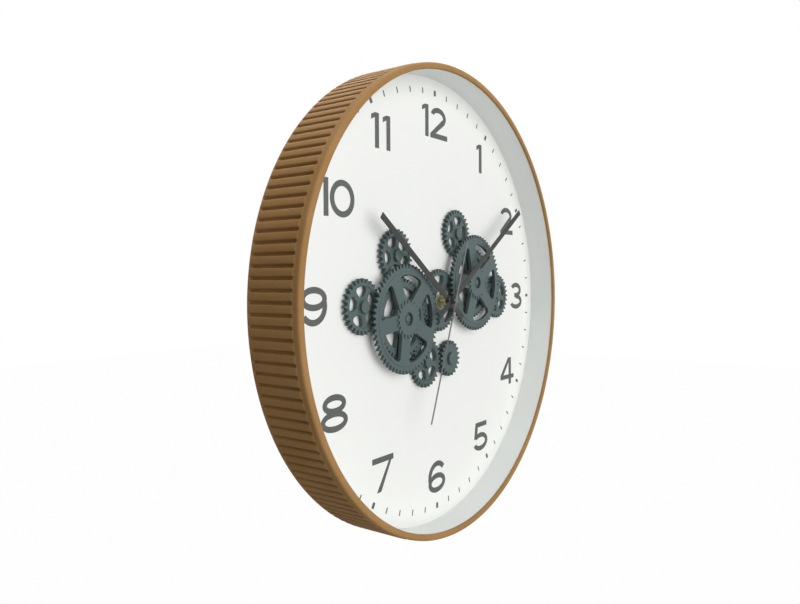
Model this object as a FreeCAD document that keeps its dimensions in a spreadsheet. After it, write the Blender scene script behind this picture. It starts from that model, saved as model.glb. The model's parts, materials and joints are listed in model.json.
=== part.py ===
import FreeCAD, Part
import math
import os
import re

import Sketcher

# A wall clock with a fluted ring, a white dial and a train of large gears in front of the dial.
# Millimetres, +Z up. The clock's front faces -Y, and +X is to the right as seen from the front.
# The origin is the middle of the keyhole's round entry, on the wall.
# Depths are counted from the dial's face, positive towards the wall. Places across the dial are
# counted from the hands' axis, and angles run clockwise from 12 o'clock as seen from the front.

SIZES = {
    # Case ring
    "case_radius": 200,
    "case_front_reach": 27,
    "case_back_reach": 22,
    "bezel_inner_radius": 194.3,
    "bezel_lip_depth": 2.5,
    "bezel_edge_radius": 2,
    "bezel_lip_edge_radius": 0.5,
    "wall_inner_radius": 196.5,
    "band_drop": 0.4,
    "front_band_depth": 6,
    "back_band_depth": 2.4,
    "back_edge_radius": 2,
    "rib_count": 156,
    "groove_width": 2.4,
    "groove_depth": 1,
    "rib_edge_drop": 0.45,
    # Inner flange and dial
    "flange_inner_radius": 194.6,
    "flange_clearance": 0.3,
    "dial_clearance": 0.2,
    "dial_thickness": 3,
    "print_thickness": 0.2,
    # Minute track
    "track_inner_radius": 180.2,
    "track_outer_radius": 185,
    "hour_tick_width": 3,
    "minute_tick_width": 1.2,
    "tick_count": 60,
    "hour_count": 12,
    # Numerals
    "numeral_radius": 157,
    "numeral_height": 27.8,
    "numeral_stroke": 4.6,
    "ten_gap": 1.7,
    "eleven_gap": 5.1,
    "twelve_gap": 2.9,
    "ten_inward_shift": 4.7,
    # Dial retaining ring and its screws
    "retainer_inner_radius": 189.5,
    "retainer_thickness": 2,
    "retainer_depth": 12,
    "retainer_clearance": 0.3,
    "retainer_screw_count": 6,
    "retainer_screw_radius": 1.25,
    "retainer_screw_head_radius": 2.5,
    "retainer_screw_head_height": 1.6,
    "retainer_screw_wall_left": 1.2,
    "screw_clearance": 0.1,
    # Hanger
    "hanger_height": 168,
    "hanger_block_width": 54,
    "hanger_block_below": 11,
    "hanger_block_above": 17,
    "hanger_plate_thickness": 1.5,
    "hanger_plate_margin": 3,
    "keyhole_radius": 4.75,
    "keyhole_slot_width": 4.6,
    "keyhole_slot_rise": 8,
    "hanger_pocket_width": 12,
    "hanger_pocket_below": 6.5,
    "hanger_pocket_above": 13,
    "hanger_pocket_depth": 9,
    "hanger_screw_offset": 20,
    "hanger_screw_radius": 1.25,
    "hanger_screw_head_radius": 2.4,
    "hanger_screw_head_height": 1.2,
    "hanger_screw_length": 9,
    # Gear plates and the space that they turn in
    "gear_module": 1.45,
    "gear_gap": 1.2,
    "gear_thickness": 3.5,
    "wheel_step": 2,
    "wheel_thickness": 2.7,
    "web_proud": 0.4,
    "wheel_web_radius": 38.7,
    "pinion_ring_height": 0.5,
    "hub_disc_height": 0.5,
    "hub_disc_radius": 13.2,
    "hub_spacer_radius": 12,
    "hub_recess_radius": 5.5,
    "hub_recess_depth": 2.6,
    "small_recess_outer_radius": 16.2,
    "small_recess_inner_radius": 5.2,
    "small_recess_depth": 0.65,
    "centre_teeth": 36,
    "inner_teeth": 44,
    "small_teeth": 28,
    "drive_teeth": 20,
    "wheel_teeth": 60,
    "hub_pinion_teeth": 20,
    # Window cut-outs of the gear plates
    "window_count": 5,
    "wheel_window_inner": 15.5,
    "wheel_window_outer": 36.2,
    "wheel_spoke": 12,
    "wheel_window_corner": 3,
    "inner_window_inner": 13.5,
    "inner_window_outer": 26,
    "inner_spoke": 8,
    "inner_window_corner": 2.5,
    "small_window_inner": 7.4,
    "small_window_outer": 15.6,
    "small_spoke": 4.6,
    "small_window_corner": 2.4,
    "centre_window_inner": 11,
    "centre_window_outer": 22,
    "centre_spoke": 7,
    "centre_window_corner": 2.5,
    # Directions in the gear train, in degrees
    "left_wheel_direction": 256.3,
    "right_wheel_direction": 75,
    "upper_left_direction": 351.4,
    "left_gear_direction": 283,
    "bottom_direction": 138.5,
    "drive_direction": 89.5,
    "upper_right_direction": 329.8,
    "right_gear_direction": 105.7,
    "left_window_angle": 8.6,
    "left_inner_window_angle": 14,
    "right_window_angle": 22,
    "right_inner_window_angle": 12,
    "centre_window_angle": 64,
    "upper_left_window_angle": 44,
    "left_gear_window_angle": 64,
    "bottom_window_angle": 64.5,
    "upper_right_window_angle": 8.5,
    "right_gear_window_angle": 64,
    # Posts that the gears turn on
    "running_clearance": 0.06,
    "small_post_radius": 1.5,
    "small_post_flange_radius": 3.5,
    "small_cap_radius": 4.75,
    "small_cap_depth": 2,
    "small_post_end": 1.3,
    "big_post_radius": 2.5,
    "big_post_flange_radius": 5,
    "post_flange_height": 1,
    "big_cap_radius": 4.4,
    "big_cap_depth": 1.7,
    "big_post_end": 1.1,
    "cap_gap": 0.2,
    "press_clearance": 0.02,
    "post_hole_clearance": 0.1,
    "post_nut_radius": 3.6,
    "post_nut_depth": 2.4,
    "post_thread_reach": 0.8,
    "drive_cap_radius": 5.5,
    "drive_cap_height": 2.5,
    "drive_pinion_depth": 5.6,
    # Bush, sleeve, washer and nut on the hands' axis
    "bush_radius": 4,
    "bush_front_reach": 12.4,
    "bush_flange_radius": 7,
    "bush_flange_depth": 0.7,
    "sleeve_radius": 5.5,
    "sleeve_flange_radius": 7.5,
    "sleeve_bore_clearance": 0.1,
    "sleeve_front_reach": 4.9,
    "washer_radius": 8.6,
    "washer_thickness": 0.6,
    "nut_across_flats": 13,
    "nut_depth": 4,
    # Tubes and arbor that carry the hands
    "fit_clearance": 0.05,
    "hour_tube_radius": 2.55,
    "hour_shoulder_step": 0.25,
    "minute_tube_radius": 1.6,
    "minute_shoulder_step": 0.25,
    "seconds_arbor_radius": 0.5,
    # Hands
    "hour_hand_reach": 13.25,
    "hour_hand_thickness": 0.5,
    "hour_hand_width": 5.5,
    "hour_hand_length": 117.4,
    "hour_hand_tail": 28.7,
    "hour_hand_angle": 305.4,
    "hour_collar_radius": 4.2,
    "hour_collar_depth": 1.25,
    "minute_hand_reach": 16.75,
    "minute_hand_thickness": 0.5,
    "minute_hand_width": 5.2,
    "minute_hand_length": 158.2,
    "minute_hand_tail": 24.1,
    "minute_hand_angle": 56.8,
    "minute_collar_radius": 3.4,
    "minute_collar_depth": 2.2,
    "seconds_hand_reach": 20.85,
    "seconds_hand_thickness": 0.3,
    "seconds_hand_width": 1.8,
    "seconds_hand_length": 109,
    "seconds_hand_tail": 55.6,
    "seconds_hand_angle": 201.6,
    "seconds_pipe_radius": 1.2,
    "seconds_pipe_depth": 0.8,
    "seconds_cap_radius": 2.4,
    "seconds_cap_height": 0.6,
    # Plastic boxes of the movement and of the gear motor
    "unit_width": 56,
    "unit_depth": 15,
    "unit_wall": 1.2,
    "battery_bay_height": 15,
    "battery_radius": 7.25,
    "battery_length": 50.5,
    "battery_nub_radius": 2.75,
    "battery_nub_length": 1,
    "battery_gap": 0.15,
    "contact_plate_radius": 5,
    "contact_plate_thickness": 0.4,
    "contact_dimple_radius": 2,
    "gasket_radius": 12,
    "gasket_thickness": 1,
    "bush_hole_clearance": 0.2,
    # Movement wheels: modules, teeth and layers
    "pivot_radius": 0.5,
    "hour_module": 0.396,
    "hour_wheel_teeth": 40,
    "motion_pinion_teeth": 10,
    "hour_wheel_depth": 6,
    "hour_wheel_thickness": 1,
    "cannon_module": 0.4125,
    "cannon_teeth": 12,
    "motion_wheel_teeth": 36,
    "cannon_depth": 7.6,
    "cannon_thickness": 1.6,
    "centre_wheel_module": 0.255,
    "centre_wheel_teeth": 64,
    "third_pinion_teeth": 8,
    "centre_wheel_depth": 10,
    "wheel_layer_thickness": 0.8,
    "third_module": 0.27,
    "third_wheel_teeth": 60,
    "seconds_pinion_teeth": 8,
    "third_wheel_depth": 12,
    "seconds_module": 0.4,
    "seconds_wheel_teeth": 40,
    "intermediate_pinion_teeth": 8,
    "seconds_wheel_depth": 14,
    "rotor_module": 0.3,
    "intermediate_wheel_teeth": 48,
    "rotor_pinion_teeth": 8,
    "intermediate_wheel_depth": 15.8,
    "rotor_layer_thickness": 0.6,
    "rotor_direction": 315,
    "rotor_radius": 2.5,
    "rotor_depth": 9,
    "rotor_length": 4,
    "knob_stem_radius": 1.2,
    "knob_radius": 4,
    "knob_height": 2.2,
    "knob_gap": 0.2,
    "arbor_sleeve_radius": 0.9,
    # Movement electrics
    "board_left": 25,
    "board_right": 5,
    "board_bottom": 18.6,
    "board_top": 26,
    "board_thickness": 0.8,
    "stator_half_width": 3.9,
    "stator_depth": 10.4,
    "stator_thickness": 1.2,
    "stator_hole_clearance": 0.5,
    "stator_above": 15,
    "stator_below": 3.9,
    "stator_post_radius": 1.2,
    "stator_post_rise": 9.5,
    "coil_radius": 3.4,
    "coil_left": 24,
    "coil_right": 4,
    "coil_height": 22,
    # Gear motor
    "motor_unit_x": 26,
    "motor_unit_below": 62,
    "output_module": 0.6,
    "output_teeth": 40,
    "reduction_pinion_teeth": 10,
    "reduction_teeth": 40,
    "motor_pinion_teeth": 10,
    "output_wheel_depth": 5,
    "output_wheel_thickness": 1.5,
    "reduction_wheel_depth": 7.8,
    "reduction_wheel_thickness": 1.6,
    "reduction_direction": 90,
    "motor_direction": 135,
    "output_shaft_radius": 2,
    "motor_can_radius": 7,
    "motor_can_gap": 0.5,
    "motor_shaft_radius": 0.75,
    "motor_screw_radius": 1,
    "motor_screw_head_radius": 2,
    "motor_screw_head_height": 1,
    "motor_screw_inset": 4,
    "motor_screw_reach": 2,
    "shaft_hole_clearance": 0.3,
    "overrun": 1,
}

# Tooth form, as shares of the module, of the pitch and of the pressure angle
PRESSURE_ANGLE = 20
TIP_SHARE = 1.0
ROOT_SHARE = 1.25
THICKNESS_SHARE = 0.46
FINE_TIP_SHARE = 0.8
FINE_THICKNESS_SHARE = 0.42

document = FreeCAD.newDocument("GearClock")
sheet = document.addObject("Spreadsheet::Sheet", "Dimensions")
for row, (alias, number) in enumerate(SIZES.items(), start=1):
    sheet.set(f"A{row}", alias)
    sheet.set(f"B{row}", str(number))
    sheet.setAlias(f"B{row}", alias)
document.recompute()

# Names that more than one piece uses for its depth or place
AXIS = ("0", "0")
DIAL_BACK = "dial_thickness"
GEAR_BACK = "-gear_gap"
GEAR_FRONT = "-(gear_gap + gear_thickness)"
WHEEL_BACK = f"{GEAR_FRONT} - wheel_step"
RIM_FRONT = f"{WHEEL_BACK} - wheel_thickness"
WEB_FRONT = f"{RIM_FRONT} - web_proud"
PINION_FRONT = f"{WEB_FRONT} - pinion_ring_height"
HUB_FRONT = f"{PINION_FRONT} - hub_disc_height"
RECESS_FLOOR = f"{HUB_FRONT} + hub_recess_depth"
LIP_BACK = "-case_front_reach + bezel_lip_depth"
PLATE_FRONT = "case_back_reach - hanger_plate_thickness"
MOVEMENT_FRONT = "dial_thickness + gasket_thickness"
TRAIN_SPAN = "gear_module / 2"

ALIAS = re.compile("|".join(rf"\b{name}\b" for name in sorted(SIZES, key=len, reverse=True)))


def formula(text):
    """The expression with the sheet's name in front of each size."""
    return ALIAS.sub(lambda match: "Dimensions." + match.group(0), str(text))


def measure(text):
    """The value of an expression in the sheet's sizes."""
    return float(sheet.evalExpression(formula(text)))


def bind(piece, name, text):
    piece.setExpression(name, formula(text))


def place(piece, across, depth, height):
    """Bind a piece's place: across and height from the hands' axis, depth from the dial's face."""
    bind(piece, "Placement.Base.x", across)
    bind(piece, "Placement.Base.y", f"({depth}) - case_back_reach")
    bind(piece, "Placement.Base.z", f"({height}) - hanger_height")


def polar(start, distance, direction):
    """The place that lies a distance away from another one, in a clockwise direction from up."""
    across, height = start
    return (f"{across} + ({distance}) * sin({direction})", f"{height} + ({distance}) * cos({direction})")


def turned_round(name, kind, front, back, at, length="Height"):
    """A primitive whose axis runs from its front towards the wall."""
    piece = document.addObject(kind, name)
    along = FreeCAD.Rotation(FreeCAD.Vector(1, 0, 0), -90)
    piece.Placement = FreeCAD.Placement(FreeCAD.Vector(), along)
    bind(piece, length, f"({back}) - ({front})")
    place(piece, at[0], front, at[1])
    return piece


def drum(name, radius, front, back, at=AXIS):
    piece = turned_round(name, "Part::Cylinder", front, back, at)
    bind(piece, "Radius", radius)
    return piece


def cone(name, front_radius, back_radius, front, back, at=AXIS):
    piece = turned_round(name, "Part::Cone", front, back, at)
    bind(piece, "Radius1", front_radius)
    bind(piece, "Radius2", back_radius)
    return piece


def hexagon(name, corner_radius, front, back, at=AXIS):
    piece = turned_round(name, "Part::Prism", front, back, at)
    piece.Polygon = 6
    bind(piece, "Circumradius", corner_radius)
    return piece


def block(name, left, right, front, back, bottom, top):
    piece = document.addObject("Part::Box", name)
    bind(piece, "Length", f"({right}) - ({left})")
    bind(piece, "Width", f"({back}) - ({front})")
    bind(piece, "Height", f"({top}) - ({bottom})")
    place(piece, left, front, bottom)
    return piece


def fuse(name, *parts):
    piece = document.addObject("Part::MultiFuse", name)
    piece.Shapes = list(parts)
    piece.Refine = False
    return piece


def group(name, *parts):
    piece = document.addObject("Part::Compound", name)
    piece.Links = list(parts)
    return piece


def cut(name, base, *tools):
    piece = document.addObject("Part::Cut", name)
    piece.Base = base
    piece.Tool = tools[0] if len(tools) == 1 else group(name + "_cutters", *tools)
    piece.Refine = False
    return piece


def tube(name, radius, bore, front, back, at=AXIS):
    hole = drum(name + "_bore", bore, f"({front}) - overrun", f"({back}) + overrun", at)
    return cut(name, drum(name + "_body", radius, front, back, at), hole)


def shaped(name, shape, depth="0", at=AXIS):
    """A sub-part whose outline comes from a formula; its own front face is at zero depth."""
    piece = document.addObject("Part::Feature", name)
    piece.Shape = shape
    place(piece, at[0], depth, at[1])
    return piece


def flat_body(name):
    """A sketched body whose sketch lies across the clock and whose pad grows towards the front."""
    body = document.addObject("PartDesign::Body", name)
    sketch = body.newObject("Sketcher::SketchObject", name + "_outline")
    plane = next(plane for plane in body.Origin.OriginFeatures if plane.Role == "XZ_Plane")
    sketch.AttachmentSupport = [(plane, "")]
    sketch.MapMode = "FlatFace"
    return body, sketch


def pad(body, sketch, thickness):
    feature = body.newObject("PartDesign::Pad", body.Name + "_pad")
    feature.Profile = sketch
    bind(feature, "Length", thickness)
    return body


def limit(sketch, kind, places, size):
    """A dimension between two points of a sketch, or of one round edge, bound to the sheet."""
    index = sketch.addConstraint(Sketcher.Constraint(kind, *places, measure(size)))
    bind(sketch, f"Constraints[{index}]", size)


def sketch_rectangle(sketch, half_width, below, above):
    """A rectangle centred on the sketch's upright axis."""
    first = sketch.GeometryCount
    side, low, high = measure(half_width), measure(below), measure(above)
    corners = [(-side, -low), (side, -low), (side, high), (-side, high)]
    points = [FreeCAD.Vector(across, up, 0) for across, up in corners]
    for index in range(4):
        sketch.addGeometry(Part.LineSegment(points[index], points[(index + 1) % 4]))
    for index in range(4):
        after = first + (index + 1) % 4
        sketch.addConstraint(Sketcher.Constraint("Coincident", first + index, 2, after, 1))
        level = "Horizontal" if index % 2 == 0 else "Vertical"
        sketch.addConstraint(Sketcher.Constraint(level, first + index))
    limit(sketch, "DistanceX", (first, 1, -1, 1), half_width)
    limit(sketch, "DistanceX", (-1, 1, first + 1, 1), half_width)
    limit(sketch, "DistanceY", (first, 1, -1, 1), below)
    limit(sketch, "DistanceY", (-1, 1, first + 2, 1), above)


def sketch_circle(sketch, radius):
    """A circle round the sketch's origin."""
    index = sketch.addGeometry(Part.Circle(FreeCAD.Vector(), FreeCAD.Vector(0, 0, 1), measure(radius)))
    sketch.addConstraint(Sketcher.Constraint("Coincident", index, 3, -1, 1))
    limit(sketch, "Radius", (index,), radius)


# Toothed wheels

def on_dial(radius, angle, depth=0):
    """A point at a radius and a clockwise angle, across the dial."""
    turn = math.radians(angle)
    return FreeCAD.Vector(radius * math.sin(turn), depth, radius * math.cos(turn))


def involute(angle):
    return math.tan(angle) - angle


def tooth_flank(teeth, module, tip_share, thickness_share):
    """Radius and half angle, in degrees, at the root, the base, the pitch line and the tip."""
    pitch = teeth * module / 2
    base = pitch * math.cos(math.radians(PRESSURE_ANGLE))
    root = pitch - ROOT_SHARE * module
    tip = pitch + tip_share * module
    half_at_pitch = math.pi * thickness_share / teeth + involute(math.radians(PRESSURE_ANGLE))
    flank = []
    for radius in (root, max(base, root), pitch, tip):
        pressure = math.acos(min(1, base / radius))
        flank.append((radius, math.degrees(half_at_pitch - involute(pressure))))
    return flank if base > root else flank[1:]


def toothed_outline(teeth, module, phase, tip_share, thickness_share):
    flank = tooth_flank(teeth, module, tip_share, thickness_share)
    points = []
    for tooth in range(teeth):
        middle = phase + 360 * tooth / teeth
        points += [on_dial(radius, middle - half) for radius, half in flank]
        points += [on_dial(radius, middle + half) for radius, half in reversed(flank)]
    return Part.makePolygon(points + points[:1])


def window(inner, outer, spoke, corner, middle, count):
    """The outline of one rounded opening between two parallel-sided spokes."""
    def corner_point(radius, side):
        lean = math.degrees(math.asin(spoke / 2 / radius))
        return on_dial(radius, middle + side * (180 / count - lean))
    far = Part.Arc(corner_point(outer, -1), on_dial(outer, middle), corner_point(outer, 1)).toShape()
    near = Part.Arc(corner_point(inner, 1), on_dial(inner, middle), corner_point(inner, -1)).toShape()
    right = Part.LineSegment(corner_point(outer, 1), corner_point(inner, 1)).toShape()
    left = Part.LineSegment(corner_point(inner, -1), corner_point(outer, -1)).toShape()
    prism = Part.Face(Part.Wire([far, right, near, left])).extrude(FreeCAD.Vector(0, corner, 0))
    axial = [edge for edge in prism.Edges if edge.BoundBox.YLength > corner / 2]
    rounded = prism.makeFillet(corner, axial)
    front = min(rounded.Faces, key=lambda face: face.CenterOfMass.y)
    return front.OuterWire


def circle_outline(radius):
    return Part.Wire(Part.Circle(FreeCAD.Vector(), FreeCAD.Vector(0, 1, 0), measure(radius)).toShape())


def plate(name, outline, bore, front, back, at=AXIS, windows=None):
    """A flat plate with a round hole; windows names its cut-outs' sizes and gives their angle."""
    depth = measure(f"({back}) - ({front})")
    holes = [circle_outline(bore)] if bore else []
    holes += window_set(*windows) if windows else []
    face = Part.makeFace([outline] + holes, "Part::FaceMakerBullseye")
    return shaped(name, face.extrude(FreeCAD.Vector(0, depth, 0)), front, at)


def toothed(name, teeth, module, phase, bore, front, back, at=AXIS, windows=None, fine=False):
    """A flat toothed disc; the small wheels of the movement have a finer, thinner tooth."""
    tip_share = FINE_TIP_SHARE if fine else TIP_SHARE
    thickness_share = FINE_THICKNESS_SHARE if fine else THICKNESS_SHARE
    outline = toothed_outline(int(measure(teeth)), measure(module), phase, tip_share, thickness_share)
    return plate(name, outline, bore, front, back, at, windows)


def window_set(kind, angle):
    """The outlines of all openings of one plate; kind is the first word of their sizes' names."""
    count = int(measure("window_count"))
    sizes = [measure(f"{kind}_{part}") for part in ("window_inner", "window_outer", "spoke")]
    corner = measure(f"{kind}_window_corner")
    middles = [measure(angle) + 360 * index / count for index in range(count)]
    return [window(*sizes, corner, middle, count) for middle in middles]


def meshed(phase, teeth, direction, follower_teeth):
    """The tooth angle of a wheel that lies in a direction from another wheel, in mesh with it."""
    toward = measure(direction)
    followers = measure(follower_teeth)
    return toward + 180 + 180 / followers - (phase - toward) * measure(teeth) / followers


# Case ring

def case_profile():
    """The front band and bezel, and the narrow back band, as two turned profiles."""
    outer = measure("case_radius - band_drop")
    lip = measure("bezel_inner_radius")
    wall = measure("wall_inner_radius")
    front = measure("-case_front_reach")
    edge = measure("bezel_edge_radius")
    lip_edge = measure("bezel_lip_edge_radius")
    lip_back = measure(LIP_BACK)
    band_back = measure("-case_front_reach + front_band_depth")
    bezel = turned([
        (lip, lip_back), (lip, front + lip_edge),
        (lip + lip_edge, front, (lip + lip_edge, front + lip_edge)),
        (outer - edge, front), (outer, front + edge, (outer - edge, front + edge)),
        (outer, band_back), (wall, band_back), (wall, lip_back),
    ])
    rim_front = measure("case_back_reach - back_band_depth")
    rim_edge = measure("back_edge_radius")
    back = measure("case_back_reach")
    rim = turned([
        (wall, rim_front), (outer, rim_front), (outer, back - rim_edge),
        (outer - rim_edge, back, (outer - rim_edge, back - rim_edge)), (wall, back),
    ])
    return bezel, rim


def turned(outline):
    """Turn an outline of (radius, depth) points about the axis; a third entry is an arc's centre."""
    edges = []
    corners = [FreeCAD.Vector(entry[0], entry[1], 0) for entry in outline]
    for index, entry in enumerate(outline[1:] + outline[:1]):
        start, end = corners[index], corners[(index + 1) % len(corners)]
        if len(entry) == 3:
            centre = FreeCAD.Vector(*entry[2], 0)
            outward = ((start + end) / 2 - centre).normalize()
            middle = centre + outward * start.distanceToPoint(centre)
            edges.append(Part.Arc(start, middle, end).toShape())
        else:
            edges.append(Part.LineSegment(start, end).toShape())
    face = Part.Face(Part.Wire(edges))
    return face.revolve(FreeCAD.Vector(), FreeCAD.Vector(0, 1, 0), 360)


def fluted_wall():
    """The ribbed stretch of the wall: each rib is a shallow arc, with a rounded groove beside it."""
    crest = measure("case_radius")
    shoulder = crest - measure("rib_edge_drop")
    floor = crest - measure("groove_depth")
    pitch = 360 / measure("rib_count")
    half_rib = pitch / 2 - math.degrees(measure("groove_width") / 2 / crest)
    edges = []
    for rib in range(int(measure("rib_count"))):
        middle = rib * pitch
        start, end = on_dial(shoulder, middle - half_rib), on_dial(shoulder, middle + half_rib)
        after = on_dial(shoulder, middle + pitch - half_rib)
        edges.append(Part.Arc(start, on_dial(crest, middle), end).toShape())
        edges.append(Part.Arc(end, on_dial(floor, middle + pitch / 2), after).toShape())
    ends = ("-case_front_reach + front_band_depth", "case_back_reach - back_band_depth")
    return plate("ribbed_wall", Part.Wire(edges), "wall_inner_radius", *ends)


def radial_screw_holes(name, radius, inner, outer):
    """Round bars that stand out from the axis, one for each screw of the retaining ring."""
    bars = []
    depth = f"{DIAL_BACK} + retainer_thickness + retainer_depth / 2"
    for index in range(int(measure("retainer_screw_count"))):
        angle = f"360 * {index} / retainer_screw_count + 180 / retainer_screw_count"
        bar = document.addObject("Part::Cylinder", f"{name}_{index}")
        outward = FreeCAD.Rotation(FreeCAD.Vector(0, 0, 1), on_dial(1, measure(angle)))
        bar.Placement = FreeCAD.Placement(FreeCAD.Vector(), outward)
        bind(bar, "Radius", radius)
        bind(bar, "Height", f"({outer}) - ({inner})")
        place(bar, f"({inner}) * sin({angle})", depth, f"({inner}) * cos({angle})")
        bars.append(bar)
    return bars


def case_ring():
    bezel, rim = case_profile()
    parts = [shaped("bezel", bezel), fluted_wall(), shaped("back_rim", rim)]
    reach = "case_radius - retainer_screw_wall_left"
    holes = radial_screw_holes("case_screw_hole", "retainer_screw_radius", "retainer_inner_radius", reach)
    return cut("case_ring", fuse("case_body", *parts), *holes)


def inner_flange():
    outer = "wall_inner_radius - flange_clearance"
    return tube("inner_flange", outer, "flange_inner_radius", LIP_BACK, "0")


def retaining_ring():
    outer = "wall_inner_radius - retainer_clearance"
    seat = f"{DIAL_BACK} + retainer_thickness"
    flange = tube("retainer_flange", outer, "retainer_inner_radius", DIAL_BACK, seat)
    skirt_inner = f"{outer} - retainer_thickness"
    skirt = tube("retainer_skirt", outer, skirt_inner, seat, f"{seat} + retainer_depth")
    hole_radius = "retainer_screw_radius + screw_clearance"
    holes = radial_screw_holes("retainer_hole", hole_radius, "retainer_inner_radius", "wall_inner_radius")
    return cut("retaining_ring", fuse("retainer_body", flange, skirt), *holes)


def retaining_screws():
    seat = "wall_inner_radius - retainer_clearance - retainer_thickness - press_clearance"
    tip = "case_radius - retainer_screw_wall_left"
    head_top = f"{seat} - retainer_screw_head_height"
    shanks = radial_screw_holes("screw_shank", "retainer_screw_radius", seat, tip)
    heads = radial_screw_holes("screw_head", "retainer_screw_head_radius", head_top, seat)
    screws = [fuse(f"retaining_screw_{index}", *pair) for index, pair in enumerate(zip(shanks, heads))]
    return group("retaining_screws", *screws)


# Gear train places

LEFT_WHEEL = polar(AXIS, f"{TRAIN_SPAN} * (centre_teeth + inner_teeth)", "left_wheel_direction")
RIGHT_WHEEL = polar(AXIS, f"{TRAIN_SPAN} * (centre_teeth + inner_teeth)", "right_wheel_direction")
SMALL_SPAN = f"{TRAIN_SPAN} * (inner_teeth + small_teeth)"
SMALL_GEARS = {
    "gear_upper_left": (LEFT_WHEEL, "upper_left_direction", "upper_left_window_angle"),
    "gear_left": (LEFT_WHEEL, "left_gear_direction", "left_gear_window_angle"),
    "gear_bottom": (LEFT_WHEEL, "bottom_direction", "bottom_window_angle"),
    "gear_upper_right": (RIGHT_WHEEL, "upper_right_direction", "upper_right_window_angle"),
    "gear_right": (RIGHT_WHEEL, "right_gear_direction", "right_gear_window_angle"),
}
SMALL_PLACES = {name: polar(home, SMALL_SPAN, way) for name, (home, way, angle) in SMALL_GEARS.items()}
DRIVE_SPAN = f"{TRAIN_SPAN} * (small_teeth + drive_teeth)"
DRIVE = polar(SMALL_PLACES["gear_bottom"], DRIVE_SPAN, "drive_direction")
BIG_PLACES = {"left": LEFT_WHEEL, "right": RIGHT_WHEEL}


def dial_panel():
    body, sketch = flat_body("dial_disc")
    sketch_circle(sketch, "wall_inner_radius - dial_clearance")
    disc = pad(body, sketch, "dial_thickness")
    place(disc, "0", DIAL_BACK, "0")
    ends = ("-overrun", f"{DIAL_BACK} + overrun")
    holes = [drum("bush_hole", "bush_radius + bush_hole_clearance", *ends)]
    holes.append(drum("shaft_hole", "output_shaft_radius + shaft_hole_clearance", *ends, DRIVE))
    for name, at in SMALL_PLACES.items():
        holes.append(drum(f"{name}_post_hole", "small_post_radius + post_hole_clearance", *ends, at))
    for name, at in BIG_PLACES.items():
        holes.append(drum(f"{name}_post_hole", "big_post_radius + post_hole_clearance", *ends, at))
    ends = (f"{DIAL_BACK} - motor_screw_reach - screw_clearance", f"{DIAL_BACK} + overrun")
    for index, at in enumerate(motor_screw_places()):
        holes.append(drum(f"motor_screw_hole_{index}", "motor_screw_radius + screw_clearance", *ends, at))
    return cut("dial_panel", disc, *holes)


# Numerals. The points of a digit are shares of the numeral height, with its lower left corner at
# zero, and the angles of its curves are degrees counted anticlockwise from the right.

FULL_TURN = 360
STROKE_SHARE = measure("numeral_stroke") / measure("numeral_height")
LEVEL_SHARE = 1 - STROKE_SHARE
WIDE_SHARE = 0.99
HEIGHT_SHARE = 1

# Each curve is its middle, its two half axes, its start and its end
CURVE_SHARES = {
    0: [((0.495, 0.5), (0.495, 0.5), 0, FULL_TURN)],
    1: [],
    2: [((0.47, 0.7), (0.44, 0.3), -38, 165)],
    3: [((0.47, 0.72), (0.43, 0.28), -90, 150), ((0.485, 0.28), (0.485, 0.28), -160, 90)],
    4: [],
    5: [((0.495, 0.315), (0.495, 0.315), -158, 145)],
    6: [((0.515, 0.5), (0.515, 0.5), 38, 200), ((0.495, 0.308), (0.485, 0.308), 0, FULL_TURN)],
    7: [],
    8: [((0.53, 0.735), (0.46, 0.265), 0, FULL_TURN), ((0.53, 0.285), (0.53, 0.285), 0, FULL_TURN)],
    9: [((0.475, 0.5), (0.515, 0.5), 218, 380), ((0.495, 0.692), (0.485, 0.308), 0, FULL_TURN)],
}

# Each straight piece is its corners
BAR_SHARES = {
    1: [[(0, 0), (0.18, 0), (0.18, 1), (0, 1)], [(0, 1), (-0.17, 0.92), (-0.17, 0.78), (0, 0.86)]],
    2: [[(0.7, 0.645), (0.82, 0.505), (0.3, STROKE_SHARE), (0, STROKE_SHARE), (0, 0.13)],
        [(0, 0), (WIDE_SHARE, 0), (WIDE_SHARE, STROKE_SHARE), (0, STROKE_SHARE)]],
    3: [[(0.36, 0.44), (0.52, 0.44), (0.52, 0.605), (0.36, 0.605)]],
    4: [[(0.65, 0), (0.83, 0), (0.83, 1), (0.65, 1)],
        [(0, 0.204), (1.05, 0.204), (1.05, 0.36), (0, 0.36)],
        [(0, 0.36), (0.22, 0.36), (0.8, 1), (0.6, 1)]],
    5: [[(0.16, LEVEL_SHARE), (0.93, LEVEL_SHARE), (0.93, 1), (0.16, 1)],
        [(0.16, 1), (0.06, 0.44), (0.24, 0.44), (0.34, 1)]],
    7: [[(WIDE_SHARE, 1), (0.4, 0), (0.21, 0), (0.78, LEVEL_SHARE), (0.81, 1)],
        [(0, LEVEL_SHARE), (WIDE_SHARE, LEVEL_SHARE), (WIDE_SHARE, 1), (0, 1)]],
}

# The left and right ends of the digits that aren't as wide as most
END_SHARES = {1: (-0.17, 0.18), 3: (0, 0.97), 4: (0, 1.05), 8: (0, 1.06)}


def stroke_band(middle, half_axes, start, end):
    """Part of an elliptical ring as wide as the stroke, between two angles."""
    def scaled_arc(width, height):
        arc = Part.Edge(Part.Circle(), math.radians(start), math.radians(end))
        matrix = FreeCAD.Matrix()
        matrix.scale(width, height, 1)
        return arc.transformGeometry(matrix)
    outer = scaled_arc(*half_axes)
    inner = scaled_arc(half_axes[0] - STROKE_SHARE, half_axes[1] - STROKE_SHARE)
    if end - start >= FULL_TURN:
        face = Part.Face(Part.Wire(outer)).cut(Part.Face(Part.Wire(inner)))
    else:
        sides = [Part.LineSegment(outer.Vertexes[index].Point, inner.Vertexes[index].Point).toShape()
                 for index in (0, -1)]
        face = Part.Face(Part.Wire(Part.sortEdges([outer, inner] + sides)[0]))
    face.translate(FreeCAD.Vector(*middle, 0))
    return face


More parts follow.
